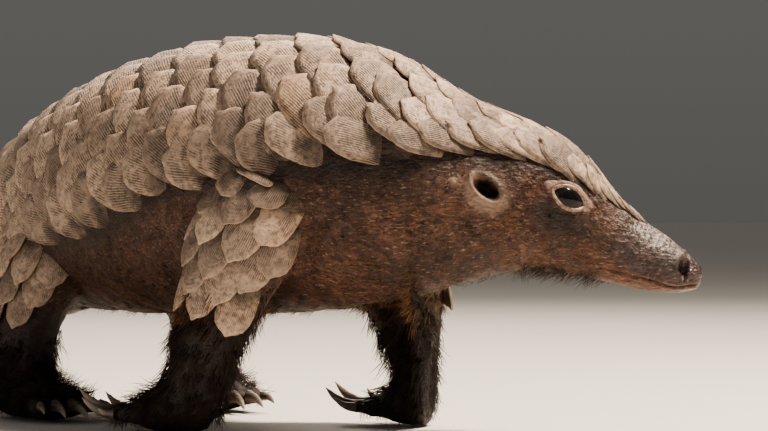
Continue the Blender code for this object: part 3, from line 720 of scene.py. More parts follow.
@dataclass
class Head:
    """The relief of the head: lids, ears, nostrils and mouth, as offsets in mm from the plain tube.

    The eyes, ears and nostrils are kept by side, 1 on the right and -1 on the left.
    """

    eye_length: float = 5.8
    eye_height: float = 3.5
    lid_proud: float = 0.5
    lid_reach: float = 1.8
    ear_radii: tuple[float, float] = (4.9, 2.8)
    ear_depth: float = 5.5
    nostril_radii: tuple[float, float] = (1.9, 4.1)
    mouth_end: float = 37.0
    eyes: dict[float, Feature] = field(default_factory=dict)
    ears: dict[float, Feature] = field(default_factory=dict)
    nostrils: dict[float, Feature] = field(default_factory=dict)

    def __post_init__(self) -> None:
        """Finds the features' places on both sides."""
        for side in (1.0, -1.0):
            self.eyes[side] = Feature.at(*EYE_AT, side, EYE_TILT)
            self.ears[side] = Feature.at(*EAR_AT, side, EAR_TILT)
            self.nostrils[side] = Feature.at(*NOSTRIL_AT, side)

    def ball_middle(self, side: float) -> Vector:
        """The centre of the eyeball, in metres."""
        return self.eyes[side].world(0.0, 0.0, EYE_BULGE - EYE_RADII[2])

    def ball_height(self, along: np.ndarray, across: np.ndarray) -> np.ndarray:
        """How far the eyeball's surface stands out of the head at a place in the eye."""
        reach = np.minimum((along / EYE_RADII[0]) ** 2 + (across / EYE_RADII[1]) ** 2, 0.97)
        return EYE_RADII[2] * (np.sqrt(1.0 - reach) - 1.0) + EYE_BULGE

    def lid_share(self, along: np.ndarray, across: np.ndarray) -> np.ndarray:
        """How far from the middle of the eye: 1 at the edge of the lids, which is an almond."""
        narrowed = self.eye_height * (1.0 - 0.22 * np.minimum((along / self.eye_length) ** 2, 1.0))
        return np.sqrt((along / self.eye_length) ** 2 + (across / narrowed) ** 2)

    def eye_relief(self, points: np.ndarray, side: float) -> np.ndarray:
        """The offset in mm near one eye: the opening, the lids' swelling and their creases.

        Args:
            points: Places near the head, in metres.
            side: 1 on the right, -1 on the left.

        Returns:
            One offset for each place.
        """
        along, across, out = self.eyes[side].local(points)
        share = self.lid_share(along, across)
        near = (np.abs(out) < 9.0) & (share < 3.2)
        lid = np.maximum(self.ball_height(along, across), -0.6) + self.lid_proud
        reach = 1.32 + (self.lid_reach - 1.32) * step(-1.5, 2.0, across)
        flank = step(0.0, 1.0, (reach - share) / (reach - 1.0))
        swell = lid * flank + 0.55 * np.exp(-(((share - 1.35) / 0.22) ** 2)) * step(-1.5, 2.0, across)
        crease = -0.55 * np.exp(-(((share - 1.86) / 0.13) ** 2)) * (across > -2.5)
        crease += -0.35 * np.exp(-(((share - 2.35) / 0.12) ** 2)) * (across > 0.0)
        hollow = -6.0 * step(1.04, 0.93, share)
        relief = np.where(share < 1.04, np.minimum(swell, lid) + hollow, swell + crease)
        return np.where(near, relief, 0.0)

    def ear_relief(self, points: np.ndarray, side: float) -> np.ndarray:
        """The offset in mm near one ear: its hollow, and its rim, thick behind and below.

        Args:
            points: Places near the head, in metres.
            side: 1 on the right, -1 on the left.

        Returns:
            One offset for each place.
        """
        along, across, out = self.ears[side].local(points)
        share = np.sqrt((along / self.ear_radii[0]) ** 2 + (across / self.ear_radii[1]) ** 2)
        turn = np.arctan2(-across - 0.6 * np.abs(along), -along)
        behind = 0.5 + 0.5 * np.cos(turn - 0.6)
        rim = (0.5 + 1.5 * behind) * np.exp(-(((share - 1.32) / 0.26) ** 2))
        hollow = -self.ear_depth * step(1.12, 0.55, share)
        inner = 3.0 * np.exp(-(((along - 0.4) / 2.6) ** 2 + ((across - 1.7) / 0.9) ** 2))
        near = (np.abs(out) < 9.0) & (share < 2.6)
        wart = np.hypot(along - WART_AT[0], across - WART_AT[1])
        bead = 1.1 * np.exp(-((wart / 1.3) ** 2)) * (side > 0)
        return np.where(near, rim + hollow + inner, 0.0) + np.where(np.abs(out) < 9.0, bead, 0.0)

    def nostril_relief(self, points: np.ndarray, side: float) -> np.ndarray:
        """The offset in mm near one nostril: its slit and the wing round it.

        Args:
            points: Places near the head, in metres.
            side: 1 on the right, -1 on the left.

        Returns:
            One offset for each place.
        """
        along, across, out = self.nostrils[side].local(points)
        bent = along + 0.16 * across - 0.05 * across**2
        share = np.sqrt((bent / self.nostril_radii[0]) ** 2 + (across / self.nostril_radii[1]) ** 2)
        wing = 0.6 * np.exp(-(((share - 1.5) / 0.4) ** 2))
        wing = wing * step(2.0, -1.0, along) * step(-4.5, -1.0, across)
        return np.where(np.abs(out) < 5.0, wing - 3.2 * step(1.12, 0.5, share), 0.0)

    def mouth_relief(self, s: np.ndarray, angle: np.ndarray) -> np.ndarray:
        """The offset in mm near the line of the mouth, with the upper lip over it.

        Args:
            s: Distances from the nose.
            angle: Angles from the top.

        Returns:
            One offset for each place.
        """
        line = eased(MOUTH_ANGLE, s)
        radius = np.maximum(BODY_TUBE.size(s, "drop"), 2.0)
        below = (np.abs(angle) - line) * np.pi / 180.0 * radius
        strength = step(self.mouth_end + 2.0, self.mouth_end - 14.0, s) * step(0.5, 3.0, s)
        groove = -0.70 * np.exp(-((below / 0.42) ** 2))
        lips = 0.28 * np.exp(-(((below + 1.5) / 0.9) ** 2)) + 0.25 * np.exp(-(((below - 1.2) / 0.8) ** 2))
        return strength * (groove + lips)

    def relief(self, s: np.ndarray, angle: np.ndarray, points: np.ndarray) -> np.ndarray:
        """The whole offset in mm from the plain tube.

        Args:
            s: Distances from the nose.
            angle: Angles from the top.
            points: The same places, in metres.

        Returns:
            One offset for each place.
        """
        total = self.mouth_relief(s, angle)
        for side in (1.0, -1.0):
            for part in (self.eye_relief, self.ear_relief, self.nostril_relief):
                total = total + part(points, side)
        return total


def folds(s: np.ndarray, angle: np.ndarray, points: np.ndarray) -> np.ndarray:
    """The offset in mm of the soft folds and wrinkles of bare skin.

    Args:
        s: Distances from the nose.
        angle: Angles from the top.
        points: The same places, in metres.

    Returns:
        One offset for each place.
    """
    places = points / MM
    stretched = np.stack([s / 9.0, angle / 34.0, np.zeros_like(s)], axis=-1)
    soft = ripple(stretched, 1.0, 2, 1.0)
    fine = ripple(places, 2.6, 2, 2.0)
    neck = step(62.0, 120.0, s)
    bare = step(-8.0, 10.0, np.abs(angle) - eased(SCALED_ARC, s))
    crest = 1.0 - np.abs(soft)
    return bare * (neck * (1.0 * soft + 0.5 * (crest - 0.7)) + 0.12 * fine) + 0.05 * fine


@dataclass
class Skin:
    """One closed skin over the whole animal, just inside the nodes of flesh. Sizes are in mm.

    Attributes:
        inset: How far inside the nodes the skin lies behind the head.
        voxel: The size of the remesh.
        head_end: Where the head's own finer grid ends, measured from the nose.
        sides: How many points a ring of that grid has.
        smoothing: How many times the remeshed body is smoothed.
        head: The relief of the head.
    """

    inset: float = 1.1
    voxel: float = 1.75
    head_end: float = 97.0
    sides: int = 200
    smoothing: int = 6
    head: Head = field(default_factory=Head)

    def shell(self, tube: Tube, start: float, end: float, sides: int, gap: float) -> Shell:
        """The points and faces of a stretch of tube, closed at both ends.

        Args:
            tube: The tube.
            start: Where the stretch starts, in mm.
            end: Where it ends, in mm.
            sides: How many points a ring has.
            gap: From ring to ring, in mm.

        Returns:
            The points in metres and the faces.
        """
        places = np.linspace(start, end, max(4, int((end - start) / gap)))
        angles = np.linspace(0.0, 360.0, sides, endpoint=False)
        grid = np.meshgrid(places, angles, indexing="ij")
        rings = tube.points(grid[0].ravel(), grid[1].ravel(), -self.inset)
        return grid_shell(rings.reshape(len(places), sides, 3))

    def rough(self) -> bpy.types.Object:
        """All tubes of body, limbs, feet and toes as one object of overlapping closed shells.

        Returns:
            A linked object.
        """
        shells = [self.shell(BODY_TUBE, 30.0, BODY_TUBE.length - 0.6, 72, 3.0)]
        for leg in LEGS:
            limb, foot = leg.limb_tube(), leg.foot_tube()
            shells.append(self.shell(limb, 0.5, limb.length - 0.5, 48, 2.0))
            shells.append(self.shell(foot, 0.4, foot.length - 0.4, 48, 1.5))
            for direction, start, _, radius in leg.toe_places():
                shells.append(self.toe(direction, start, radius))
        points, faces = [], []
        for more, faced in shells:
            first = sum(len(p) for p in points)
            points.append(more)
            faces += [tuple(first + k for k in face) for face in faced]
        return new_object("skin", mesh_of("skin", np.vstack(points), faces))

    def toe(self, direction: Vector, start: Vector, radius: float) -> Shell:
        """The points and faces of one toe, in metres.

        Args:
            direction: Where it points.
            start: Where it starts, in mm.
            radius: The radius of its claw, in mm.

        Returns:
            The points and faces.
        """
        across = direction.cross(EARTH_UP).normalized()
        upward = across.cross(direction)
        stops = ((-6.0, TOE_RADIUS), (0.0, TOE_RADIUS), (5.0, TOE_RADIUS - 0.2), (TOE_LENGTH, radius + 0.6))
        turns = np.linspace(0.0, 2 * math.pi, 16, endpoint=False)
        rings = np.array([
            [
                (start + direction * along + across * math.cos(t) * r * 0.85 + upward * math.sin(t) * r) * MM
                for t in turns
            ]
            for along, r in stops
        ])
        return grid_shell(rings)

    def body_mesh(self) -> bpy.types.Mesh:
        """The body, limbs and feet, remeshed into one skin and smoothed.

        Returns:
            The mesh, with the head's place still filled.
        """
        made = self.rough()
        remesh = made.modifiers.new("remesh", "REMESH")
        remesh.mode, remesh.voxel_size = "VOXEL", self.voxel * MM
        remesh.use_smooth_shade = True
        soften = made.modifiers.new("soften", "SMOOTH")
        soften.factor, soften.iterations = 0.5, self.smoothing
        mesh = evaluated(made)
        bpy.data.objects.remove(made)
        return mesh

    def head_places(self) -> tuple[np.ndarray, np.ndarray]:
        """The rings and angles of the head's grid, closest round the eyes, ears and nose.

        Returns:
            Distances in mm and angles in degrees.
        """
        rings = [0.25]
        while rings[-1] < self.head_end - 1.6:
            s = rings[-1]
            close = s < 13.0 or 43.0 < s < 85.0
            rings.append(s + (0.45 if close else 0.85))
        weight_at = np.linspace(-180.0, 180.0, 1441)
        weight = 1.0 + 1.0 * ((np.abs(weight_at) > 52.0) & (np.abs(weight_at) < 146.0))
        total = np.cumsum(weight)
        share = (total - total[0]) / (total[-1] - total[0])
        angles = np.interp(np.linspace(0.0, 1.0, self.sides, endpoint=False), share, weight_at)
        return np.array(rings), angles

    def build(self) -> bpy.types.Object:
        """The whole skin, with its relief, in one mesh.

        Returns:
            A linked object.
        """
        mesh = self.body_mesh()
        bm = bmesh.new()
        bm.from_mesh(mesh)
        centre, heading = (a[0] for a in BODY_TUBE.frame(np.array([self.head_end]))[:2])
        bmesh.ops.bisect_plane(
            bm, geom=bm.verts[:] + bm.edges[:] + bm.faces[:], plane_co=centre * MM,
            plane_no=heading, clear_outer=True, dist=1e-6,
        )
        rings, angles = self.head_places()
        grid = np.meshgrid(rings, angles, indexing="ij")
        flat = BODY_TUBE.points(grid[0].ravel(), grid[1].ravel(), -self.head_inset(grid[0].ravel()))
        verts = [bm.verts.new(p) for p in flat]
        sides = len(angles)
        for face in ring_faces(len(rings), sides):
            bm.faces.new([verts[k] for k in face])
        tip = bm.verts.new(BODY_TUBE.frame(np.array([0.1]))[0][0] * MM)
        for k in range(sides):
            bm.faces.new((tip, verts[(k + 1) % sides], verts[k]))
        rim = [e for e in bm.edges if e.is_boundary]
        bmesh.ops.bridge_loops(bm, edges=rim)
        bmesh.ops.triangulate(bm, faces=[f for f in bm.faces if len(f.verts) > 4])
        write_mesh(bm, mesh)
        mesh.update()
        self.shape(mesh)
        return new_object("skin", mesh)

    def head_inset(self, s: np.ndarray) -> np.ndarray:
        """How far inside the node the skin lies, least on the snout."""
        return np.interp(s, (0.0, 10.0, 60.0, 100.0), (0.1, 0.3, 0.5, self.inset))

    def shape(self, mesh: bpy.types.Mesh) -> None:
        """Presses the relief into the mesh and keeps it above the floor.

        Args:
            mesh: The skin's mesh.
        """
        places = vertices_of(mesh)
        normals = normals_of(mesh)
        s, angle = BODY_TUBE.locate(places)
        surface = BODY_TUBE.points(s, angle, -self.inset)
        away = np.linalg.norm(places - surface, axis=1) / MM
        on_body = step(6.0, 2.0, away)
        on_head = step(self.head_end + 1.0, self.head_end - 1.0, s)
        seam = step(self.head_end + 14.0, self.head_end + 1.0, s) * (1.0 - on_head)
        places = places + (surface - places) * (seam * on_body)[:, None]
        plain = BODY_TUBE.points(s, angle, 0.0)
        out = unit(plain - BODY_TUBE.frame(s)[0] * MM)
        lift = np.zeros(len(places))
        close = (s < self.head_end + 8.0) & (away < 8.0)
        lift[close] = self.head.relief(s[close], angle[close], plain[close])
        wrinkle = folds(s, angle, places) * on_body
        limb_wrinkle = (1.0 - on_body) * 0.35 * ripple(places / MM, 4.0, 2, 3.0)
        direction = np.where(close[:, None], out, normals)
        places = places + direction * ((lift + wrinkle * step(3.0, 0.3, np.abs(lift)))[:, None] * MM)
        places = places + normals * (limb_wrinkle[:, None] * MM)
        places[:, 2] = np.maximum(places[:, 2], FLOOR_GAP)
        put_vertices(mesh, places)
        for name, values in markings(places).items():
            store(mesh, name, "FLOAT", values)


def markings(points: np.ndarray) -> dict[str, np.ndarray]:
    """How far each marking of skin and coat holds at places on the animal, from 0 to 1.

    Args:
        points: Places on the animal, in metres.

    Returns:
        Arrays named dark, pale, ginger, snout, wet and horn, and one for the painted highlight on
        top of the snout. Dark also holds painted shade in the ear holes and below the scales' edge.
    """
    s, angle = BODY_TUBE.locate(points)
    turned = np.abs(angle)
    surface = BODY_TUBE.points(s, angle, 0.0)
    away = np.linalg.norm(points - surface, axis=1) / MM
    height = points[:, 2] / MM
    limb = step(6.0, 14.0, away)
    patch = ripple(points / MM, 14.0, 2, 5.0)
    head = step(100.0, 90.0, s) * (away < 12.0)
    snout = step(40.0, 26.0, s + 0.10 * (turned - 90.0)) * step(135.0, 112.0, turned)
    dark = limb * step(50.0, 30.0, height + 6.0 * patch)
    pale = np.zeros(len(points))
    ginger = np.zeros(len(points))
    for side in (1.0, -1.0):
        along, across, _ = HEAD.eyes[side].local(surface)
        same = np.sign(angle) == side
        lids = HEAD.lid_share(along, across)
        reach = 1.12 + 0.50 * step(-1.5, 2.5, across)
        pale += same * step(0.30, -0.05, lids - reach) * head
        under = np.exp(-(((along + 0.5) / 9.0) ** 2 + ((across + 8.0) / 5.5) ** 2))
        # Above the eye, the dark band below the scales' edge: partly dark hair, partly painted shade.
        above = np.exp(-(((along + 5.0) / 13.0) ** 2 + ((across - 8.5) / 3.2) ** 2))
        dark += same * head * (1.05 * under + 0.85 * above) * step(0.0, 0.4, lids - reach)
        ginger += same * head * np.exp(-(((along + 12.5) / 5.0) ** 2 + ((across + 4.0) / 5.5) ** 2))
        along, across, _ = HEAD.ears[side].local(surface)
        # The ear's pale rim fades towards the top of the hole, partly dark hair and partly painted shade
        # there.
        share = np.sqrt(((along - 0.6) / 5.0) ** 2 + ((across + 0.8) / 4.4) ** 2)
        pale += same * head * step(2.2, 1.2, share) * (0.38 + 0.72 * step(3.4, -0.5, across))
        # Inside the ear hole the skin is darkened with painted shade, less on the inner fold, which is
        # ginger.
        hole = np.sqrt((along / HEAD.ear_radii[0]) ** 2 + (across / HEAD.ear_radii[1]) ** 2)
        ridge = np.exp(-(((along - 0.4) / 2.4) ** 2 + ((across - 1.6) / 0.8) ** 2))
        inside = same * head * step(1.02, 0.78, hole)
        dark += inside * (1.6 - 1.2 * ridge)
        pale -= inside * 1.2
        wart = np.hypot(along - WART_AT[0], across - WART_AT[1])
        bead = np.exp(-((wart / 1.5) ** 2)) * (side > 0)
        pale += 1.3 * same * head * bead
        ginger += inside * 0.7 * ridge
    jaw = step(50.0, 20.0, s) * step(122.0, 136.0, turned)
    ginger += 0.45 * jaw * step(4.0, 16.0, s)
    # A dark band just below the scales' edge, added to dark: partly dirt and dark hair, partly painted shade
    # under the scales.
    below = (turned - eased(SCALED_ARC, s)) * np.pi / 180.0 * BODY_TUBE.size(s, "half_width")
    edge = step(8.5, 1.0, below + 1.5 * patch) * step(34.0, 54.0, s) * (1 - limb)
    cheek = eased(((20.0, 126.0), (50.0, 116.0), (85.0, 98.0)), s)
    warm = np.exp(-(((turned - cheek) / 11.0) ** 2)) * step(16.0, 30.0, s) * step(92.0, 70.0, s)
    ginger += 0.55 * warm * head
    wet = step(14.0, 3.0, s) * 0.8 + snout * step(95.0, 60.0, turned) * 0.7
    # A painted highlight of pale glints on top of the snout.
    frost = np.exp(-(((s - 20.0) / 10.0) ** 2)) * step(88.0, 40.0, turned)
    horn = step(0.0, -2.4, below) * step(23.0, 27.0, s) * step(110.0, 88.0, s) * (1 - limb)
    return {
        "dark": np.clip(dark + 0.9 * edge, 0.0, 1.0),
        "pale": np.clip(pale, 0.0, 1.0),
        "ginger": np.clip(ginger, 0.0, 1.0),
        "snout": np.clip(snout * head, 0.0, 1.0),
        "wet": np.clip(wet * head, 0.0, 1.0),
        "frost": np.clip(frost * head, 0.0, 1.0),
        "horn": np.clip(horn, 0.0, 1.0),
    }


HEAD = Head()


class Growth(Enum):
    """How a scale's free end has worn."""

    BLUNT = 0
    POINTED = 1
    WORN = 2
    CHIPPED = 3
    CURLED = 4


@dataclass(frozen=True)
class Nodes:
    """A tree of nodes and the ways to add to it. A value is plain, or another node's socket."""

    tree: bpy.types.NodeTree

    def feed(self, socket: bpy.types.NodeSocket, value: object) -> None:
        """Links an input to another node, or sets it.

        Args:
            socket: The input.
            value: A node's output, a plain value, or the hex digits of a colour.
        """
        if isinstance(value, bpy.types.NodeSocket):
            self.tree.links.new(value, socket)
        else:
            is_colour = isinstance(value, str) and socket.type == "RGBA"
            socket.default_value = linear(value) if is_colour else value

    def add(
        self, kind: str, values: dict[str | int, object] | None = None, **settings: object
    ) -> bpy.types.Node:
        """Adds one node.

        Args:
            kind: The node's type.
            values: What its inputs get, by name or place.
            settings: The node's own settings.

        Returns:
            The node.
        """
        made = self.tree.nodes.new(kind)
        for name, value in settings.items():
            setattr(made, name, value)
        for name, value in (values or {}).items():
            self.feed(made.inputs[name], value)
        return made

    def math(self, how: str, *operands: object) -> bpy.types.NodeSocket:
        """One operation on numbers."""
        return self.add("ShaderNodeMath", dict(enumerate(operands)), operation=how).outputs[0]

    def times(self, first: object, second: object) -> bpy.types.NodeSocket:
        """Two numbers multiplied."""
        return self.math("MULTIPLY", first, second)

    def vector(self, how: str, values: dict[str | int, object]) -> bpy.types.NodeSocket:
        """One operation on vectors."""
        return self.add("ShaderNodeVectorMath", values, operation=how).outputs[0]

    def attribute(self, name: str) -> bpy.types.NodeSocket:
        """The value of a mesh attribute in a material."""
        return self.add("ShaderNodeAttribute", attribute_name=name).outputs["Fac"]

    def mixed(self, share: object, first: object, second: object) -> bpy.types.NodeSocket:
        """Two colours mixed by a share."""
        values = {0: share, 6: first, 7: second}
        return self.add("ShaderNodeMix", values, data_type="RGBA", blend_type="MIX").outputs[2]

    def coated(self, colour: object, *coats: tuple[object, object, object]) -> object:
        """A colour with others laid over it.

        Args:
            colour: The colour below.
            coats: For each colour over it: where it holds, how strongly, and the colour.

        Returns:
            The socket of the last mix.
        """
        for where, strength, over in coats:
            colour = self.mixed(self.times(where, strength), colour, over)
        return colour

    def ranged(
        self, value: object, low: float, high: float, to_low: float = 0.0, to_high: float = 1.0
    ) -> bpy.types.NodeSocket:
        """A value carried from one range to another and held there.

        Args:
            value: The value.
            low: What becomes to_low.
            high: What becomes to_high.
            to_low: The result at low and past it.
            to_high: The result at high and past it.

        Returns:
            The result.
        """
        values = {"From Min": low, "From Max": high, "To Min": to_low, "To Max": to_high}
        return self.add("ShaderNodeMapRange", {"Value": value} | values).outputs[0]

    def grain(
        self, size: float, detail: float = 3.0, stretch: Vector | None = None, roughness: float = 0.55
    ) -> bpy.types.NodeSocket:
        """Noise from 0 to 1 over the object's own coordinates.

        Args:
            size: The size of its features in mm.
            detail: How many finer layers it has.
            stretch: How many times closer the features lie along each axis.
            roughness: The strength of the finer layers.

        Returns:
            The noise.
        """
        place = self.add("ShaderNodeTexCoord").outputs["Object"]
        if stretch is not None:
            place = self.add("ShaderNodeMapping", {"Scale": stretch, 0: place}).outputs[0]
        values = {"Vector": place, "Detail": detail, "Roughness": roughness}
        return self.add("ShaderNodeTexNoise", {"Scale": 1.0 / (size * MM)} | values).outputs["Fac"]

    def bump(self, *reliefs: tuple[bpy.types.NodeSocket, float]) -> bpy.types.NodeSocket:
        """A normal bent by reliefs, each a height from 0 to 1 and its depth in mm."""
        normal = {}
        for height, depth in reliefs:
            values = {"Distance": depth * MM, "Height": height} | normal
            normal = {"Normal": self.add("ShaderNodeBump", values).outputs[0]}
        return normal["Normal"]


def new_tree(name: str, inputs: dict[str, str]) -> tuple[Nodes, bpy.types.Node]:
    """An empty geometry tree with named inputs.

    Args:
        name: The tree's name.
        inputs: The names and kinds of its inputs, past the geometry.

    Returns:
        The tree and its input node.
    """
    tree = bpy.data.node_groups.new(name, "GeometryNodeTree")
    tree.interface.new_socket("Geometry", in_out="INPUT", socket_type="NodeSocketGeometry")
    tree.interface.new_socket("Geometry", in_out="OUTPUT", socket_type="NodeSocketGeometry")
    for label, kind in inputs.items():
        tree.interface.new_socket(label, in_out="INPUT", socket_type=f"NodeSocket{kind}")
    nodes = Nodes(tree)
    return nodes, nodes.add("NodeGroupInput")


def grown(
    name: str, carrier: bpy.types.Mesh, tree: bpy.types.NodeTree, values: dict[str, object]
) -> bpy.types.Object:
    """A plain mesh object from a geometry tree run over a carrier mesh.

    Args:
        name: The piece's name.
        carrier: The mesh that the tree starts from.
        tree: The geometry tree.
        values: The values of its named inputs.

    Returns:
        A linked object without modifiers.
    """
    made = new_object(name, carrier)
    modifier = made.modifiers.new("grow", "NODES")
    modifier.node_group = tree
    for socket in tree.interface.items_tree:
        if socket.in_out == "INPUT" and socket.name in values:
            modifier[socket.identifier] = values[socket.name]
    made.data = evaluated(made)
    keep_above_floor(made.data)
    return made


def keep_above_floor(mesh: bpy.types.Mesh) -> None:
    """Raises the vertices that lie below the floor onto it.

    Args:
        mesh: The mesh.
    """
    places = vertices_of(mesh)
    places[:, 2] = np.maximum(places[:, 2], FLOOR_GAP)
    put_vertices(mesh, places)


def scatter_tree() -> bpy.types.NodeTree:
    """The tree that sets a form on each carrier point, bends it to the body and maps it.

    Each point carries the directions out and along, the form's size, its kind, its bend across
    (1/m), its tint and the place of its root on the unwrap of the skin.
    """
    nodes, given = new_tree(
        "Set forms on the skin",
        {
            "Forms": "Collection", "Width": "Float", "Length": "Float", "Thickness": "Float",
            "Patch": "Float", "Finish": "Material",
        },
    )
    inputs = given.outputs

    def named(label: str, kind: str = "FLOAT") -> bpy.types.NodeSocket:
        """What the points or forms carry under a name."""
        carried = nodes.add("GeometryNodeInputNamedAttribute", {"Name": label}, data_type=kind)
        return carried.outputs["Attribute"]

    vector = partial(named, kind="FLOAT_VECTOR")
    forms = nodes.add(
        "GeometryNodeCollectionInfo",
        {"Collection": inputs["Forms"], "Separate Children": True, "Reset Children": True},
    )
    turn = nodes.add(
        "FunctionNodeAxesToRotation", {0: vector("out"), 1: vector("along")},
        primary_axis="Z", secondary_axis="Y",
    )
    sizes = nodes.add(
        "ShaderNodeCombineXYZ",
        {"X": inputs["Width"], "Y": inputs["Length"], "Z": inputs["Thickness"]},
    )
    placed = nodes.add(
        "GeometryNodeInstanceOnPoints",
        {
            "Points": inputs["Geometry"], "Instance": forms.outputs[0], "Pick Instance": True,
            "Instance Index": named("kind", "INT"), "Rotation": turn.outputs[0],
            "Scale": nodes.vector("MULTIPLY", {0: vector("size"), 1: sizes.outputs[0]}),
        },
    )
    real = nodes.add("GeometryNodeRealizeInstances", {0: placed.outputs[0]})
    # Off the middle line a form drops by half the bend times its own reach squared. Along it, it
    # bows by a parabola.
    width = nodes.add("ShaderNodeSeparateXYZ", {0: vector("size")}).outputs["X"]
    aside = nodes.times(nodes.times(width, named("across")), inputs["Width"])
    drop = nodes.times(nodes.times(nodes.times(aside, aside), named("bend")), -0.5)
    hump = nodes.times(nodes.math("SUBTRACT", 1.0, named("reach")), named("reach"))
    bowed = nodes.math("MULTIPLY_ADD", hump, named("bow"), drop)
    moved = nodes.vector("SCALE", {0: vector("out"), "Scale": bowed})
    bent = nodes.add("GeometryNodeSetPosition", {"Geometry": real.outputs[0], "Offset": moved})
    spot = nodes.add("ShaderNodeCombineXYZ", {"X": named("across"), "Y": named("reach")})
    spread = nodes.vector("SCALE", {0: spot.outputs[0], "Scale": inputs["Patch"]})
    patch = nodes.vector("ADD", {0: vector("root"), 1: spread})
    mapped = nodes.add(
        "GeometryNodeStoreNamedAttribute",
        {"Geometry": bent.outputs[0], "Name": "OFBake", "Value": patch},
        data_type="FLOAT2", domain="CORNER",
    )
    dressed = nodes.add(
        "GeometryNodeSetMaterial", {"Geometry": mapped.outputs[0], "Material": inputs["Finish"]}
    )
    nodes.add("NodeGroupOutput", {0: dressed.outputs[0]})
    return nodes.tree


def form_collection(name: str, meshes: Sequence[bpy.types.Mesh]) -> bpy.types.Collection:
    """An unlinked collection of forms, one object for each mesh, in order.

    Args:
        name: The collection's name.
        meshes: The forms.

    Returns:
        The collection.
    """
    group = bpy.data.collections.new(name)
    for k, mesh in enumerate(meshes):
        group.objects.link(bpy.data.objects.new(f"{name}_{k:02d}", mesh))
    return group


@dataclass
class Carriers:
    """The points that forms are set on, gathered one by one."""

    spots: list[Vector] = field(default_factory=list)
    vectors: dict[str, list[tuple[float, ...]]] = field(
        default_factory=lambda: {"out": [], "along": [], "size": [], "root": []}
    )
    floats: dict[str, list[float]] = field(
        default_factory=lambda: {"bend": [], "tint": [], "bow": []}
    )
    kinds: list[int] = field(default_factory=list)

    def put(
        self, spot: Vector, out: Vector, along: Vector, size: tuple[float, float, float],
        kind: int, bend: float, tint: float, root: tuple[float, float], bow: float = 0.0,
    ) -> None:
        """Adds one point.

        Args:
            spot: Its place in metres.
            out: The direction out of the skin.
            along: The direction from the form's root to its tip.
            size: Its width, length and thickness in mm.
            kind: Which form.
            bend: How much it curves across, in 1/m.
            tint: Its own shade, from 0 to 1.
            root: Its root's place on the unwrap of the skin.
            bow: How far its middle line stands off the straight, in mm.
        """
        self.spots.append(spot)
        for name, value in (("out", out), ("along", along), ("size", size), ("root", (*root, 0.0))):
            self.vectors[name].append(tuple(value))
        self.floats["bend"].append(bend)
        self.floats["tint"].append(tint)
        self.floats["bow"].append(4.0 * bow * MM)
        self.kinds.append(kind)

    def mesh(self, name: str) -> bpy.types.Mesh:
        """The points as a mesh with their attributes.

        Args:
            name: The mesh's name.

        Returns:
            Vertices without faces.
        """
        mesh = bpy.data.meshes.new(name)
        mesh.from_pydata([tuple(p) for p in self.spots], [], [])
        for label, values in self.vectors.items():
            store(mesh, label, "FLOAT_VECTOR", np.array(values))
        for label, values in self.floats.items():
            store(mesh, label, "FLOAT", np.array(values))
        store(mesh, "kind", "INT", np.array(self.kinds, np.int32))
        return mesh


def unwrapped(s: float, angle: float, start: float, end: float) -> tuple[float, float]:
    """A place on the flat unwrap of the skin from start to end, within a unit square."""
    share = min(max((s - start) / (end - start), 0.0), 1.0)
    return 0.02 + 0.96 * share, 0.5 + 0.46 * angle / 180.0


def body_arc(s: float) -> float:
    """How far down each side of the body the scales reach, in degrees."""
    return float(eased(SCALED_ARC, s))


def limb_arc(s: float) -> float:
    """How far round a limb the scales reach, in degrees."""
    return float(np.interp(s, *zip(*LIMB_ARC)))


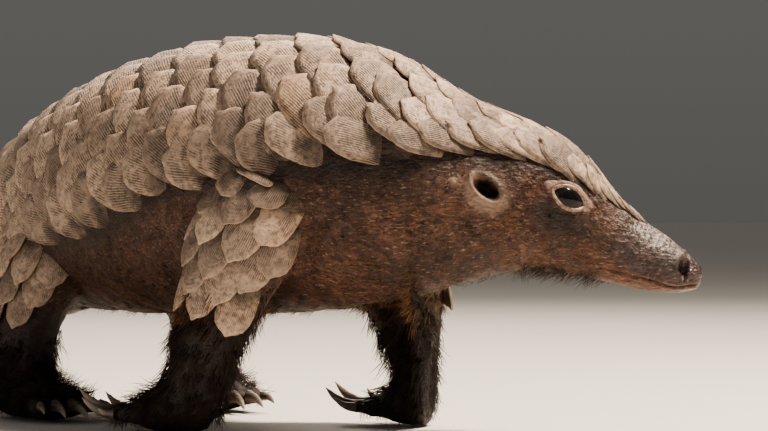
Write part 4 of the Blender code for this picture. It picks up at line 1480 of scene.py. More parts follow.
@dataclass
class ScaleForm:
    """One horn scale, root at 0 and tip at 1 along its length, half a unit to each side."""

    growth: Growth
    columns: int = 6
    shoulder: float = 0.52
    root_width: float = 0.84

    def half_width(self, v: np.ndarray) -> np.ndarray:
        """Half the width at a share of the length.

        Args:
            v: Shares of the length.

        Returns:
            Half widths, in widths of the scale.
        """
        power, blunt = {
            Growth.BLUNT: (2.5, 0.52), Growth.POINTED: (2.0, 0.62), Growth.WORN: (3.4, 0.45),
            Growth.CHIPPED: (2.4, 0.52), Growth.CURLED: (2.2, 0.60),
        }[self.growth]
        opened = np.sin(np.minimum(v / self.shoulder, 1) * math.pi / 2)
        before = self.root_width + (1 - self.root_width) * opened
        before = before * (0.60 + 0.40 * np.sqrt(1.0 - (1.0 - np.minimum(v / 0.24, 1.0)) ** 2))
        t = np.clip((v - self.shoulder) / (1 - self.shoulder), 0.0, 1.0)
        after = np.maximum(1 - t**power, 0.0) ** blunt
        return 0.5 * np.where(v < self.shoulder, before, after)

    def tip_lift(self, v: np.ndarray) -> np.ndarray:
        """How far the middle line bows up, in mm, at a share of the length."""
        bow = 0.35 * np.sin(np.pi * v)
        return bow + (1.6 * step(0.7, 1.0, v) if self.growth is Growth.CURLED else 0.0)

    def mesh(self) -> bpy.types.Mesh:
        """The scale as a closed mesh with its own places stored on it.

        Returns:
            The mesh, with across, reach and contour stored on its points.
        """
        share = np.array([0.0, 0.09, 0.28, 0.52, 0.70, 0.84, 0.95, 1.0])
        cross = np.linspace(-1.0, 1.0, self.columns + 1)
        half = self.half_width(share)
        half[-1] = 0.16 if self.growth is Growth.WORN else 0.10
        table_v = np.linspace(self.shoulder, 1.0, 60)
        table_w = self.half_width(table_v)
        points, place = [], []
        for j, v in enumerate(share):
            for c in cross:
                x = c * half[j]
                notch = 0.06 * abs(c) ** 2 * step(0.9, 1.0, v)
                if self.growth is Growth.CHIPPED:
                    notch += 0.035 * math.sin(9.0 * c + 2.0) * step(0.5, 1.0, v)
                camber = 0.55 * (1 - c * c) * (0.4 + 0.6 * v) - 0.30
                points.append((x, v - notch, camber + self.tip_lift(v)))
                edge = np.interp(-abs(x), -table_w, table_v)
                place.append((x, v, v + 1.0 - edge))
        top = len(points)
        faces = []
        wide = self.columns + 1
        for j in range(len(share) - 1):
            for i in range(self.columns):
                a = j * wide + i
                faces.append((a, a + 1, a + wide + 1, a + wide))
        under_columns = (0, self.columns // 2, self.columns)
        for j, v in enumerate(share):
            for i in under_columns:
                x, y, z = points[j * wide + i]
                points.append((x * 0.96, y * 0.995, z - (0.9 if i == self.columns // 2 else 0.5)))
                place.append(place[j * wide + i])
        for j in range(len(share) - 1):
            for i in range(2):
                a = top + j * 3 + i
                faces.append((a, a + 3, a + 4, a + 1))
            for i, u in ((0, 0), (self.columns, 2)):
                a, b = j * wide + i, (j + 1) * wide + i
                c, d = top + (j + 1) * 3 + u, top + j * 3 + u
                faces.append((a, b, c, d) if i == 0 else (b, a, d, c))
        for j in (0, len(share) - 1):
            row = [j * wide + i for i in range(wide)]
            under = [top + j * 3 + u for u in (2, 1, 0)]
            faces.append(tuple(row + under))
        mesh = mesh_of(f"scale_{self.growth.name.lower()}", np.array(points), faces, flat_from=top)
        for label, values in zip(("across", "reach", "contour"), np.array(place).T):
            store(mesh, label, "FLOAT", values)
        return mesh


@dataclass(frozen=True)
class Stretch:
    """A tube with rows of scales on it.

    Attributes:
        carriers: Where the scales go.
        tube: The tube that they lie on.
        arc: How far down each side they reach, at a distance, in degrees.
        root: The unwrap of a distance and angle.
        limbs: Tubes that scales are left out of.
    """

    carriers: Carriers
    tube: Tube
    arc: Callable[[float], float]
    root: Callable[[float, float], tuple[float, float]]
    limbs: Sequence[Tube] = ()


@dataclass
class Scales:
    """The horn scales over head, back, tail and the outer side of the limbs.

    Attributes:
        first: Where the first scale starts, in mm from the nose.
        last: Where no more rows follow.
        sink: How deep a scale's root lies below the surface, in mm.
        rise: How far its tip stands above it, in mm.
        roll: How far it tilts outwards to the side, in degrees.
        parts: The stretches of the body, by the name of their piece, their start and end.
        draw: Where every scale's chances come from.
    """

    first: float = 23.0
    last: float = BODY_TUBE.length + 3.0
    sink: float = 1.5
    rise: float = 1.7
    roll: float = 6.5
    parts: tuple[tuple[str, float, float], ...] = (
        ("scales_head_neck", 0.0, 150.0), ("scales_trunk", 150.0, 330.0),
        ("scales_tail_base", 330.0, 560.0), ("scales_tail_end", 560.0, 900.0),
    )
    draw: random.Random = field(default_factory=lambda: random.Random(11))

    def rows(
        self, start: float, end: float, width: Callable[[float], float], share: Callable[[float], float]
    ) -> list[tuple[float, int, float, float]]:
        """The rows of scales: the distance of each, its number, its scales' width and its step.

        Args:
            start: The first row's distance.
            end: Where no more rows follow.
            width: The scales' width at a distance.
            share: From row to row, as a share of the width.

        Returns:
            One tuple for each row.
        """
        rows = []
        s = start
        while s < end:
            wide = float(width(s))
            gap = wide * float(share(s))
            rows.append((s, len(rows), wide, gap))
            s += gap
        return rows

    def put_row(self, on: Stretch, s: float, row: int, wide: float, gap: float) -> None:
        """Sets one row of scales, from the top down both sides.

        Args:
            on: The stretch that they lie on.
            s: The distance at which their tips lie.
            row: The row's number, which staggers it.
            wide: The scales' width in mm.
            gap: The distance to the next row in mm.
        """
        tube, arc = on.tube, on.arc
        closed = arc(s) >= ALL_ROUND
        middle = max(s - 0.8 * gap, 1.0)
        room = min(tube.girth(s, arc(s)), tube.girth(middle, arc(middle)) + 1.0)
        even = row % 2 == 0
        if tube is BODY_TUBE and not closed:
            count = max(math.ceil(room / wide - 0.5 * even - 0.15), 0 if even else 1)
            fitted = min(max(room / (count + 0.5 * even), 0.62 * wide), 1.3 * wide)
            wide += (fitted - wide) * float(step(130.0, 100.0, s))
        turns = np.linspace(0.0, min(arc(s), 180.0), 61)
        for side in (1.0, -1.0):
            ring = tube.points(np.full(61, s), turns * side)
            hops = np.linalg.norm(np.diff(ring, axis=0), axis=1)
            girth = np.concatenate(([0.0], np.cumsum(hops))) / MM
            offset = 0.0 if even else 0.5 * wide
            if side < 0 and even:
                offset = wide
            limit = girth[-1] - 0.3 * wide if closed else max(room - 0.42 * wide, 0.01)
            while offset <= limit:
                angle = float(np.interp(offset, girth, turns)) * side
                self.put(on, s, angle, wide, gap)
                offset += wide

    def put(self, on: Stretch, s: float, angle: float, wide: float, gap: float) -> None:
        """Sets one scale with its tip at a place on a tube and its root above the lower edge.

        Args:
            on: The stretch that it lies on.
            s: The distance of its tip.
            angle: The angle of its tip.
            wide: Its width in mm.
            gap: The distance to the next row in mm.
        """
        tube, arc = on.tube, on.arc
        draw = self.draw
        shift, turned = draw.uniform(-0.06, 0.06) * wide, draw.gauss(0.0, 2.4)
        size, tint, lift = draw.uniform(0.95, 1.06), draw.random(), draw.gauss(0.0, 0.16)
        luck = draw.random()
        on_body = tube is BODY_TUBE
        small = min(1.0, wide / 15.0)
        calm = float(step(130.0, 60.0, s)) if on_body else 0.0
        overlap = float(eased(OVERLAP, s)) if on_body else 2.9
        tip_s, length = s + shift, gap * overlap * size
        slant = float(eased(SCALE_SKEW, s)) * float(step(4.0, 28.0, abs(angle))) if on_body else 0.0
        edge = 0.0
        if arc(s) < ALL_ROUND:
            level = max(tube.girth(max(tip_s, 2.0), 90.0) / 90.0, 0.05)
            edge = float(step(1.0, 0.45, (arc(s) - abs(angle)) * level / wide))
        slant = math.radians(slant * (1.0 - 0.5 * edge * calm) + turned)
        root_s = max(tip_s - length * math.cos(slant), self.first if on_body else 1.0)
        per_degree = max(tube.girth(root_s, 90.0) / 90.0, 0.05)
        turn = abs(angle) + min(length * math.sin(slant) / per_degree, 60.0)
        if arc(s) < ALL_ROUND:
            turn = max(min(turn, arc(root_s) - 0.2 * wide / per_degree), 0.0)
        root_angle = math.copysign(turn, angle)
        depth = self.sink * small * (1.0 - 0.38 * calm) * (1.0 + (0.9 - 0.4 * calm) * edge)
        spot = tube.point(root_s, root_angle, -depth)
        if spot.z < 2.0 * MM or tube.point(tip_s, angle).z < 2.2 * MM:
            return
        if any(self.inside(spot, limb) for limb in on.limbs):
            return
        proud = (self.rise + lift) * small**1.6 * (1 - 0.42 * calm) * (1 + 0.5 * edge)
        tip = tube.point(tip_s, angle, proud)
        if not on_body and (self.buried(tip) or self.buried(tip * 0.6 + spot * 0.4)):
            return
        along = (tip - spot).normalized()
        middle, turn = 0.5 * (root_s + tip_s), 0.5 * (root_angle + angle)
        _, _, out = tube.axes(middle, turn if abs(turn) > 0.5 else 0.5)
        across = along.cross(out).normalized()
        out = across.cross(along).normalized()
        roll = self.roll * small * float(step(3.0, 30.0, abs(angle))) * (1.0 - 0.8 * edge)
        out = Quaternion(along, math.radians(math.copysign(roll, angle) + draw.gauss(0.0, 1.0))) @ out
        swing = math.degrees(4.0 / max(float(tube.size(root_s, "half_width")), 4.0))
        low, high = (tube.point(middle, turn + t) for t in (-swing, swing))
        chord, sag = (high - low).length, (tube.point(middle, turn) - (low + high) / 2).length
        bend = min(8.0 * sag / max(chord, 1e-6) ** 2, 90.0) * math.cos(slant) ** 2
        level = tube.point(middle, turn, 0.5 * (self.rise - self.sink) * small * (1.0 - 0.4 * calm))
        bow = min(max((level - 0.5 * (spot + tip)).dot(out) / MM, -1.0), 4.0)
        kind = self.kind_of(luck, edge, s)
        # Scales near the body's lower edge get a darker tint, partly dust and grease and partly painted
        # shade from the scales above them.
        on.carriers.put(
            spot, out, along, (wide * 1.10 * size, (tip - spot).length / MM, min(1.0, wide / 14.0)),
            kind.value, bend, tint * (1.0 - 0.6 * edge * on_body), on.root(root_s, root_angle), bow,
        )

    def buried(self, spot: Vector) -> bool:
        """Whether a place lies inside the body.

        Args:
            spot: The place, in metres.

        Returns:
            True where it does.
        """
        s, angle = BODY_TUBE.locate(np.array([spot]), np.array([150.0 if spot.x > 0.06 else 270.0]))
        centre = BODY_TUBE.frame(s)[0][0] * MM
        surface = BODY_TUBE.points(s, angle)[0]
        return np.linalg.norm(np.array(spot) - centre) < np.linalg.norm(surface - centre) - 0.5 * MM

    def inside(self, spot: Vector, limb: Tube) -> bool:
        """Whether a place lies inside the upper part of a limb.

        Args:
            spot: The place, in metres.
            limb: The limb.

        Returns:
            True where it does.
        """
        for share in (0.0, 0.15, 0.3, 0.45, 0.6):
            s = limb.length * share
            reach = 0.95 * min(float(limb.size(s, "half_width")), float(limb.size(s, "rise")))
            if (Vector(limb.frame(np.array([s]))[0][0]) - spot / MM).length < reach:
                return True
        return False

    def kind_of(self, luck: float, edge: float, s: float) -> Growth:
        """Which form a scale takes: plain ones mostly, worn and curled ones along the lower edge.

        Args:
            luck: The scale's own draw, from 0 to 1.
            edge: How near the lower edge it lies, from 0 to 1.
            s: Its distance along the body.

        Returns:
            The form.
        """
        if luck < 0.08 + 0.10 * edge:
            return Growth.WORN
        if luck < 0.16 + 0.16 * edge:
            return Growth.CHIPPED
        if luck < 0.16 + 0.40 * edge and s > 105.0:
            return Growth.CURLED
        return Growth.POINTED if luck > 0.66 else Growth.BLUNT

    def build(self, finish: bpy.types.Material, tree: bpy.types.NodeTree) -> list[bpy.types.Object]:
        """All scales, as one piece for each stretch of the body and one for each leg.

        Args:
            finish: The horn.
            tree: The tree that sets the forms.

        Returns:
            Linked objects, not yet on a body.
        """
        forms = form_collection("horn", [ScaleForm(growth).mesh() for growth in Growth])
        sizes = {"Forms": forms, "Width": MM, "Length": MM, "Thickness": MM, "Patch": 0.02, "Finish": finish}
        limbs = [leg.limb_tube() for leg in LEGS]
        rows = self.rows(
            self.first + 10.0, self.last,
            lambda s: eased(SCALE_WIDTH, s), lambda s: eased(ROW_SHARE, s),
        )
        made = []
        for name, start, end in self.parts:
            carriers = Carriers()
            root = partial(unwrapped, start=start - 32.0, end=end)
            on = Stretch(carriers, BODY_TUBE, body_arc, root, limbs)
            for s, row, wide, gap in rows:
                if start <= s < end:
                    self.put_row(on, s, row, wide, gap)
            log.info("%s: %d scales", name, len(carriers.spots))
            made.append(grown(name, carriers.mesh(name), tree, sizes))
        for limb, leg in zip(limbs, LEGS):
            carriers = Carriers()
            on = Stretch(carriers, limb, limb_arc, partial(unwrapped, start=0.0, end=limb.length))
            heights = limb.frame(np.arange(10.0, limb.length))[0][:, 2]
            stop = 10.0 + float(np.argmax(heights < leg.kind.scaled_to))
            for s, row, wide, gap in self.rows(
                6.0, stop + 4.0, lambda s: 14.5 - 4.0 * s / limb.length, lambda s: 0.56
            ):
                self.put_row(on, s, row, wide, gap)
            name = f"scales_{leg.name}"
            log.info("%s: %d scales", name, len(carriers.spots))
            made.append(grown(name, carriers.mesh(name), tree, sizes))
        return made


@dataclass
class HairForm:
    """A tuft of bristles, root at the origin and standing up along Y, in units of its length.

    Attributes:
        seed: What its chances start from.
        bristles: How many it has.
        thickness: A bristle's radius at the root.
        spread: How far apart the roots lie.
        segments: How many straight stretches a bristle has.
    """

    seed: int
    bristles: int = 6
    thickness: float = 0.016
    spread: float = 0.16
    segments: int = 3

    def mesh(self) -> bpy.types.Mesh:
        """The tuft as closed three-sided cones that bend.

        Returns:
            The mesh, with across and reach stored on its points.
        """
        draw = random.Random(self.seed)
        points, faces, place = [], [], []
        for _ in range(self.bristles):
            root = Vector((draw.uniform(-1, 1), 0.0, draw.uniform(-1, 1))) * self.spread
            lean = Vector((draw.uniform(-1, 1), 0.0, draw.uniform(-1, 1))) * 0.28
            length = draw.uniform(0.6, 1.0)
            thick = self.thickness * draw.uniform(0.75, 1.2)
            first = len(points)
            for k in range(self.segments):
                t = k / self.segments
                middle = root + lean * t * t + Vector((0.0, length * t, 0.0))
                for j in range(3):
                    turn = 2 * math.pi * j / 3
                    radius = thick * (1 - 0.75 * t)
                    points.append(middle + Vector((math.cos(turn), 0.0, math.sin(turn))) * radius)
                    place.append((root.x, t * length))
            points.append(root + lean + Vector((0.0, length, 0.0)))
            place.append((root.x, length))
            for k in range(self.segments - 1):
                for j in range(3):
                    a, n = first + 3 * k + j, first + 3 * k + (j + 1) % 3
                    faces.append((a, a + 3, n + 3, n))
            last = first + 3 * (self.segments - 1)
            for j in range(3):
                faces.append((last + j, len(points) - 1, last + (j + 1) % 3))
            faces.append((first, first + 1, first + 2))
        mesh = mesh_of(f"tuft_{self.seed}", np.array([tuple(p) for p in points]), faces)
        for label, values in zip(("across", "reach"), np.array(place).T):
            store(mesh, label, "FLOAT", values)
        return mesh


@dataclass(frozen=True)
class Coat:
    """One stretch of hair.

    Attributes:
        name: Its piece.
        tufts: How many it has.
        length: The longest tufts' length in mm.
        rise: How steeply they stand; 0 lies flat.
        where: How thick they grow at places on the skin.
        width: A tuft's width as a share of its length.
        short: Whether it takes the tufts of few bristles.
        shade: How dark it is, on top of the markings.
    """

    name: str
    tufts: int
    length: float
    rise: float
    where: Callable[[Places], np.ndarray]
    width: float = 1.0
    short: bool = False
    shade: float = 0.3


@dataclass(frozen=True)
class Places:
    """Places on the skin: distances from the nose, angles from the top, and points in metres."""

    s: np.ndarray
    angle: np.ndarray
    points: np.ndarray

    @property
    def below(self) -> np.ndarray:
        """How far below the edge of the scales, in degrees."""
        return np.abs(self.angle) - eased(SCALED_ARC, self.s)

    @property
    def height(self) -> np.ndarray:
        """How high above the floor, in mm."""
        return self.points[:, 2] / MM


def near_ankle(leg: Leg, at: Places) -> np.ndarray:
    """How thick the hair grows low on a leg.

    Args:
        leg: The leg.
        at: The places.

    Returns:
        One density for each place.
    """
    away = np.linalg.norm((at.points / MM - np.array(leg.ankle))[:, :2], axis=1)
    top = leg.kind.haired_to
    return step(36.0, 28.0, away) * step(top, top - 12.0, at.height) * step(3.0, 8.0, at.height)


def on_chin(at: Places) -> np.ndarray:
    """How thick the hair grows on the chin."""
    along = step(26.0, 38.0, at.s) * step(62.0, 48.0, at.s)
    return along * step(144.0, 162.0, np.abs(at.angle)) * (at.height > 30.0)


def on_sides(at: Places) -> np.ndarray:
    """How thick the hair grows on neck and flanks, thickest right below the scales.

    Args:
        at: The places.

    Returns:
        One density for each place.
    """
    edge = 1.0 + 2.5 * step(26.0, 6.0, at.below) * step(90.0, 130.0, at.s)
    along = step(14.0, 40.0, at.s) * step(330.0, 280.0, at.s)
    return step(2.0, 12.0, at.below) * edge * along * (at.height > 20.0)


def on_face(at: Places) -> np.ndarray:
    """How thick the hair grows on the face, clear of the lids and the ears.

    Args:
        at: The places.

    Returns:
        One density for each place.
    """
    bare = step(-2.0, 6.0, at.below)
    for side in (1.0, -1.0):
        along, across, _ = HEAD.eyes[side].local(at.points)
        bare = bare * step(1.5, 1.9, HEAD.lid_share(along, across))
        along, across, _ = HEAD.ears[side].local(at.points)
        bare = bare * step(6.0, 8.0, np.sqrt(along**2 + across**2))
    return bare * step(22.0, 40.0, at.s) * step(135.0, 105.0, at.s)


COATS = (
    *(Coat(f"hair_{leg.name}", 700, 9.0, 0.45, partial(near_ankle, leg), shade=0.5) for leg in LEGS),
    Coat("hair_chin", 64, 6.5, 1.6, on_chin, shade=1.1),
    Coat("hair_sides", 1100, 5.0, 0.35, on_sides, width=0.9, shade=0.5),
    Coat("hair_face", 5200, 2.8, 0.45, on_face, width=2.2, short=True, shade=0.1),
)


@dataclass
class Hair:
    """The bristles of the limbs, chin, cheeks and throat, as tufts over the skin."""

    draw: np.random.Generator = field(default_factory=lambda: np.random.default_rng(5))

    def spots(
        self, skin: bpy.types.Mesh, located: tuple[np.ndarray, np.ndarray], coat: Coat
    ) -> tuple[np.ndarray, np.ndarray]:
        """Random places on the skin and its normals there, as dense as the coat's own rule.

        Args:
            skin: The skin.
            located: The distances and angles of its vertices.
            coat: The coat.

        Returns:
            Places in metres and unit vectors.
        """
        skin.calc_loop_triangles()
        places, normals = vertices_of(skin), normals_of(skin)
        corners = np.empty(len(skin.loop_triangles) * 3, np.int32)
        skin.loop_triangles.foreach_get("vertices", corners)
        corners = corners.reshape(-1, 3)
        a, b, c = (places[corners[:, k]] for k in range(3))
        area = np.linalg.norm(np.cross(b - a, c - a), axis=1) / 2
        middle = (a + b + c) / 3
        at = Places(located[0][corners].mean(1), located[1][corners[:, 0]], middle)
        weight = area * np.clip(coat.where(at), 0.0, None)
        chosen = self.draw.choice(len(weight), coat.tufts, p=weight / weight.sum())
        share = self.draw.random((coat.tufts, 2))
        share = np.where(share.sum(1, keepdims=True) > 1, 1 - share, share)
        u, v = share[:, :1], share[:, 1:]
        spots = a[chosen] * (1 - u - v) + b[chosen] * u + c[chosen] * v
        na, nb, nc = (normals[corners[chosen, k]] for k in range(3))
        return spots, unit(na * (1 - u - v) + nb * u + nc * v)

    def build(
        self, skin: bpy.types.Mesh, coats: Sequence[Coat], finish: bpy.types.Material,
        tree: bpy.types.NodeTree,
    ) -> list[bpy.types.Object]:
        """Each coat as one piece.

        Args:
            skin: The skin that the hair grows on.
            coats: The coats.
            finish: The bristles' finish.
            tree: The tree that sets the forms.

        Returns:
            Linked objects, not yet on a body.
        """
        forms = form_collection("tuft", [HairForm(k).mesh() for k in range(5)])
        short = form_collection(
            "short_tuft", [HairForm(k + 9, bristles=3, segments=2, spread=0.35).mesh() for k in range(5)]
        )
        located = BODY_TUBE.locate(vertices_of(skin))
        made = []
        for coat in coats:
            spots, normals = self.spots(skin, located, coat)
            marks = markings(spots)
            s, angle = BODY_TUBE.locate(spots)
            heading = BODY_TUBE.frame(s)[1]
            down = np.array((0.0, 0.0, -1.0))
            on_limb = (np.linalg.norm(spots - BODY_TUBE.points(s, angle), axis=1) > 6 * MM)[:, None]
            grain = np.where(on_limb, down - 0.5 * heading, -heading + 0.25 * down)
            grain = unit(grain - normals * (grain * normals).sum(1, keepdims=True) + 1e-6)
            along = unit(grain + normals * coat.rise + self.draw.normal(0, 0.16, spots.shape))
            square = unit(normals - along * (normals * along).sum(1, keepdims=True) + 1e-6)
            if on_limb.mean() > 0.5:
                way = np.degrees(np.arctan2(*(spots - spots.mean(0)).T[:2]))
                roots = [unwrapped(h, a, 0.0, spots[:, 2].max()) for h, a in zip(spots[:, 2], way)]
            else:
                roots = [unwrapped(p, a, s.min(), s.max()) for p, a in zip(s, angle)]
            carriers = Carriers()
            for k in range(len(spots)):
                length = coat.length * self.draw.uniform(0.55, 1.15)
                room = (spots[k][2] / MM - 0.6) / max(-along[k][2], 1e-3)
                if along[k][2] < 0.0 and room < length:
                    if room < 1.5:
                        continue
                    length = room
                # The tuft's tint follows the skin's dark marking, the painted shade below the scales' edge
                # included.
                carriers.put(
                    Vector(spots[k] - normals[k] * 0.25 * MM), Vector(square[k]), Vector(along[k]),
                    (coat.width * length, length, coat.width * length), int(self.draw.integers(5)), 0.0,
                    float(min(max(marks["dark"][k] + coat.shade + self.draw.uniform(-0.3, 0.3), 0.0), 1.0)),
                    roots[k],
                )
            values = {
                "Forms": short if coat.short else forms, "Width": MM, "Length": MM, "Thickness": MM,
                "Patch": 0.003, "Finish": finish,
            }
            made.append(grown(coat.name, carriers.mesh(coat.name), tree, values))
            log.info("%s: %d tufts, %d faces", coat.name, len(spots), len(made[-1].data.polygons))
        return made


@dataclass
class Claws:
    """The horn claws: curved, flattened at the sides, with a groove below and a worn tip."""

    sides: int = 16
    steps: int = 22
    spans: int = 4
    flat: float = 0.8
    tip_radius: float = 0.35

    def build(self, leg: Leg, index: int) -> bpy.types.Object:
        """One claw in place of its node.

        Args:
            leg: The leg.
            index: Which toe, from the inner one out.

        Returns:
            A linked object.
        """
        direction, start, length, radius = leg.toe_places()[index]
        root_slope, tip_slope = leg.kind.bend
        spot = start + direction * (TOE_LENGTH + CLAW_GAP)
        stations = []
        for k in range(self.spans + 1):
            share = k / self.spans
            thick = radius * (1 - share) ** 0.75 + self.tip_radius
            stations.append(Station(*spot, thick, thick, thick))
            slope = math.radians(root_slope + (tip_slope - root_slope) * (share + 0.5 / self.spans))
            if k == 0:
                spot = spot + direction * (length / self.spans / 2)
            else:
                ahead = direction * math.cos(slope) + EARTH_UP * math.sin(slope)
                spot = spot + ahead * (length / self.spans)
        curve = Tube(stations, EARTH_UP, Vector())
        places = np.linspace(0.0, curve.length, self.steps)
        rings = []
        for k, s in enumerate(places):
            share = k / (self.steps - 1)
            centre, _, right, dorsal = (a[0] for a in curve.frame(np.array([s])))
            size = float(curve.size(s, "rise")) * (1.0 - 0.55 * float(step(0.86, 1.0, share)))
            loop = []
            for j in range(self.sides):
                turn = 2 * math.pi * j / self.sides
                wide, high = math.cos(turn) * self.flat, math.sin(turn)
                groove = 0.22 * math.exp(-((wide / 0.3) ** 2)) if high < 0 else 0.0
                wave = 1.0 + 0.025 * math.sin(11.0 * share * length / 9.0 + index)
                loop.append((centre + (right * wide + dorsal * (high + groove)) * size * wave) * MM)
            rings.append(loop)
        name = f"{leg.name}_horn_{index + 1}"
        points, faces = grid_shell(np.array(rings))
        made = new_object(name, mesh_of(name, points, faces))
        keep_above_floor(made.data)
        share = np.repeat(np.linspace(0.0, 1.0, self.steps), self.sides)
        store(made.data, "reach", "FLOAT", np.concatenate((share, (0.0, 1.0))))
        return made


@dataclass
class Eye:
    """An eyeball with its cornea, and the thin wet margin of the lids round it."""

    side: float
    segments: int = 64
    rings: int = 40
    cornea: float = 0.35

    @property
    def name(self) -> str:
        """The name of the eye's own node."""
        return "right_eye" if self.side > 0 else "left_eye"

    def ball(self) -> bpy.types.Object:
        """The eyeball, its pole turned out of the head.

        Returns:
            A linked object, with its angle from the pole stored as reach.
        """
        feature, middle = HEAD.eyes[self.side], HEAD.ball_middle(self.side)
        turn = Matrix((feature.along, feature.across, feature.out)).transposed()
        loops = []
        for k in range(1, self.rings):
            polar = math.pi * k / self.rings
            loop = []
            for j in range(self.segments):
                way = 2 * math.pi * j / self.segments
                bulge = self.cornea * math.exp(-((polar / 0.62) ** 2))
                local = Vector((
                    math.sin(polar) * math.cos(way) * EYE_RADII[0],
                    math.sin(polar) * math.sin(way) * EYE_RADII[1],
                    math.cos(polar) * EYE_RADII[2] + bulge * 0.6,
                ))
                loop.append(middle + turn @ local * 0.99 * MM)
            loops.append(loop)
        points, faces = grid_shell(np.array(loops))
        made = new_object(f"{self.name}_ball", mesh_of(self.name, points, faces))
        away = (points - np.array(middle)) @ np.array(feature.out) / (EYE_RADII[2] * MM)
        store(made.data, "reach", "FLOAT", np.degrees(np.arccos(np.clip(away, -1, 1))) / 180.0)
        return made

    def margin(self) -> bpy.types.Object:
        """The pale margin of the lids, lying on the eyeball all round the opening.

        Returns:
            A linked object.
        """
        feature = HEAD.eyes[self.side]
        loops = []
        for k in range(96):
            way = 2 * math.pi * k / 96
            reach = 1.0 / float(HEAD.lid_share(np.array(math.cos(way)), np.array(math.sin(way))))
            for _ in range(4):
                spot = np.array(reach * math.cos(way)), np.array(reach * math.sin(way))
                reach *= 1.0 / float(HEAD.lid_share(*spot))
            along, across = reach * math.cos(way), reach * math.sin(way)
            height = max(float(HEAD.ball_height(np.array(along), np.array(across))), -0.7)
            centre = feature.world(along * 1.02, across * 1.02, height + 0.22)
            outward = (feature.along * math.cos(way) + feature.across * math.sin(way)).normalized()
            loop = []
            for j in range(10):
                tilt = 2 * math.pi * j / 10
                away = outward * math.cos(tilt) * 0.75 + feature.out * math.sin(tilt) * 0.5
                loop.append(centre + away * MM)
            loops.append(loop)
        points = np.array(loops).reshape(-1, 3)
        faces = []
        for k in range(96):
            a, b = k * 10, (k + 1) % 96 * 10
            faces += [(a + j, a + (j + 1) % 10, b + (j + 1) % 10, b + j) for j in range(10)]
        name = f"{self.name}_lid_margin"
        return new_object(name, mesh_of(name, points, faces))


@dataclass(frozen=True)
class Finish:
    """What every finish shares: a principled shader and patterns in real millimetres."""

    name: str = "finish"
    roughness: float = 0.6

    def made(self) -> bpy.types.Material:
        """The finish as a material.

        Returns:
            The material.
        """
        material = bpy.data.materials.new(self.name)
        material.use_nodes = True
        material.node_tree.nodes.clear()
        nodes = Nodes(material.node_tree)
        shader = nodes.add("ShaderNodeBsdfPrincipled", {"Roughness": self.roughness})
        nodes.add("ShaderNodeOutputMaterial", {0: shader.outputs[0]})
        for name, value in self.paint(nodes).items():
            nodes.feed(shader.inputs[name], value)
        return material

    def paint(self, nodes: Nodes) -> dict[str, object]:
        """What the shader's inputs get; each finish has its own colours, gloss and relief."""
        raise NotImplementedError


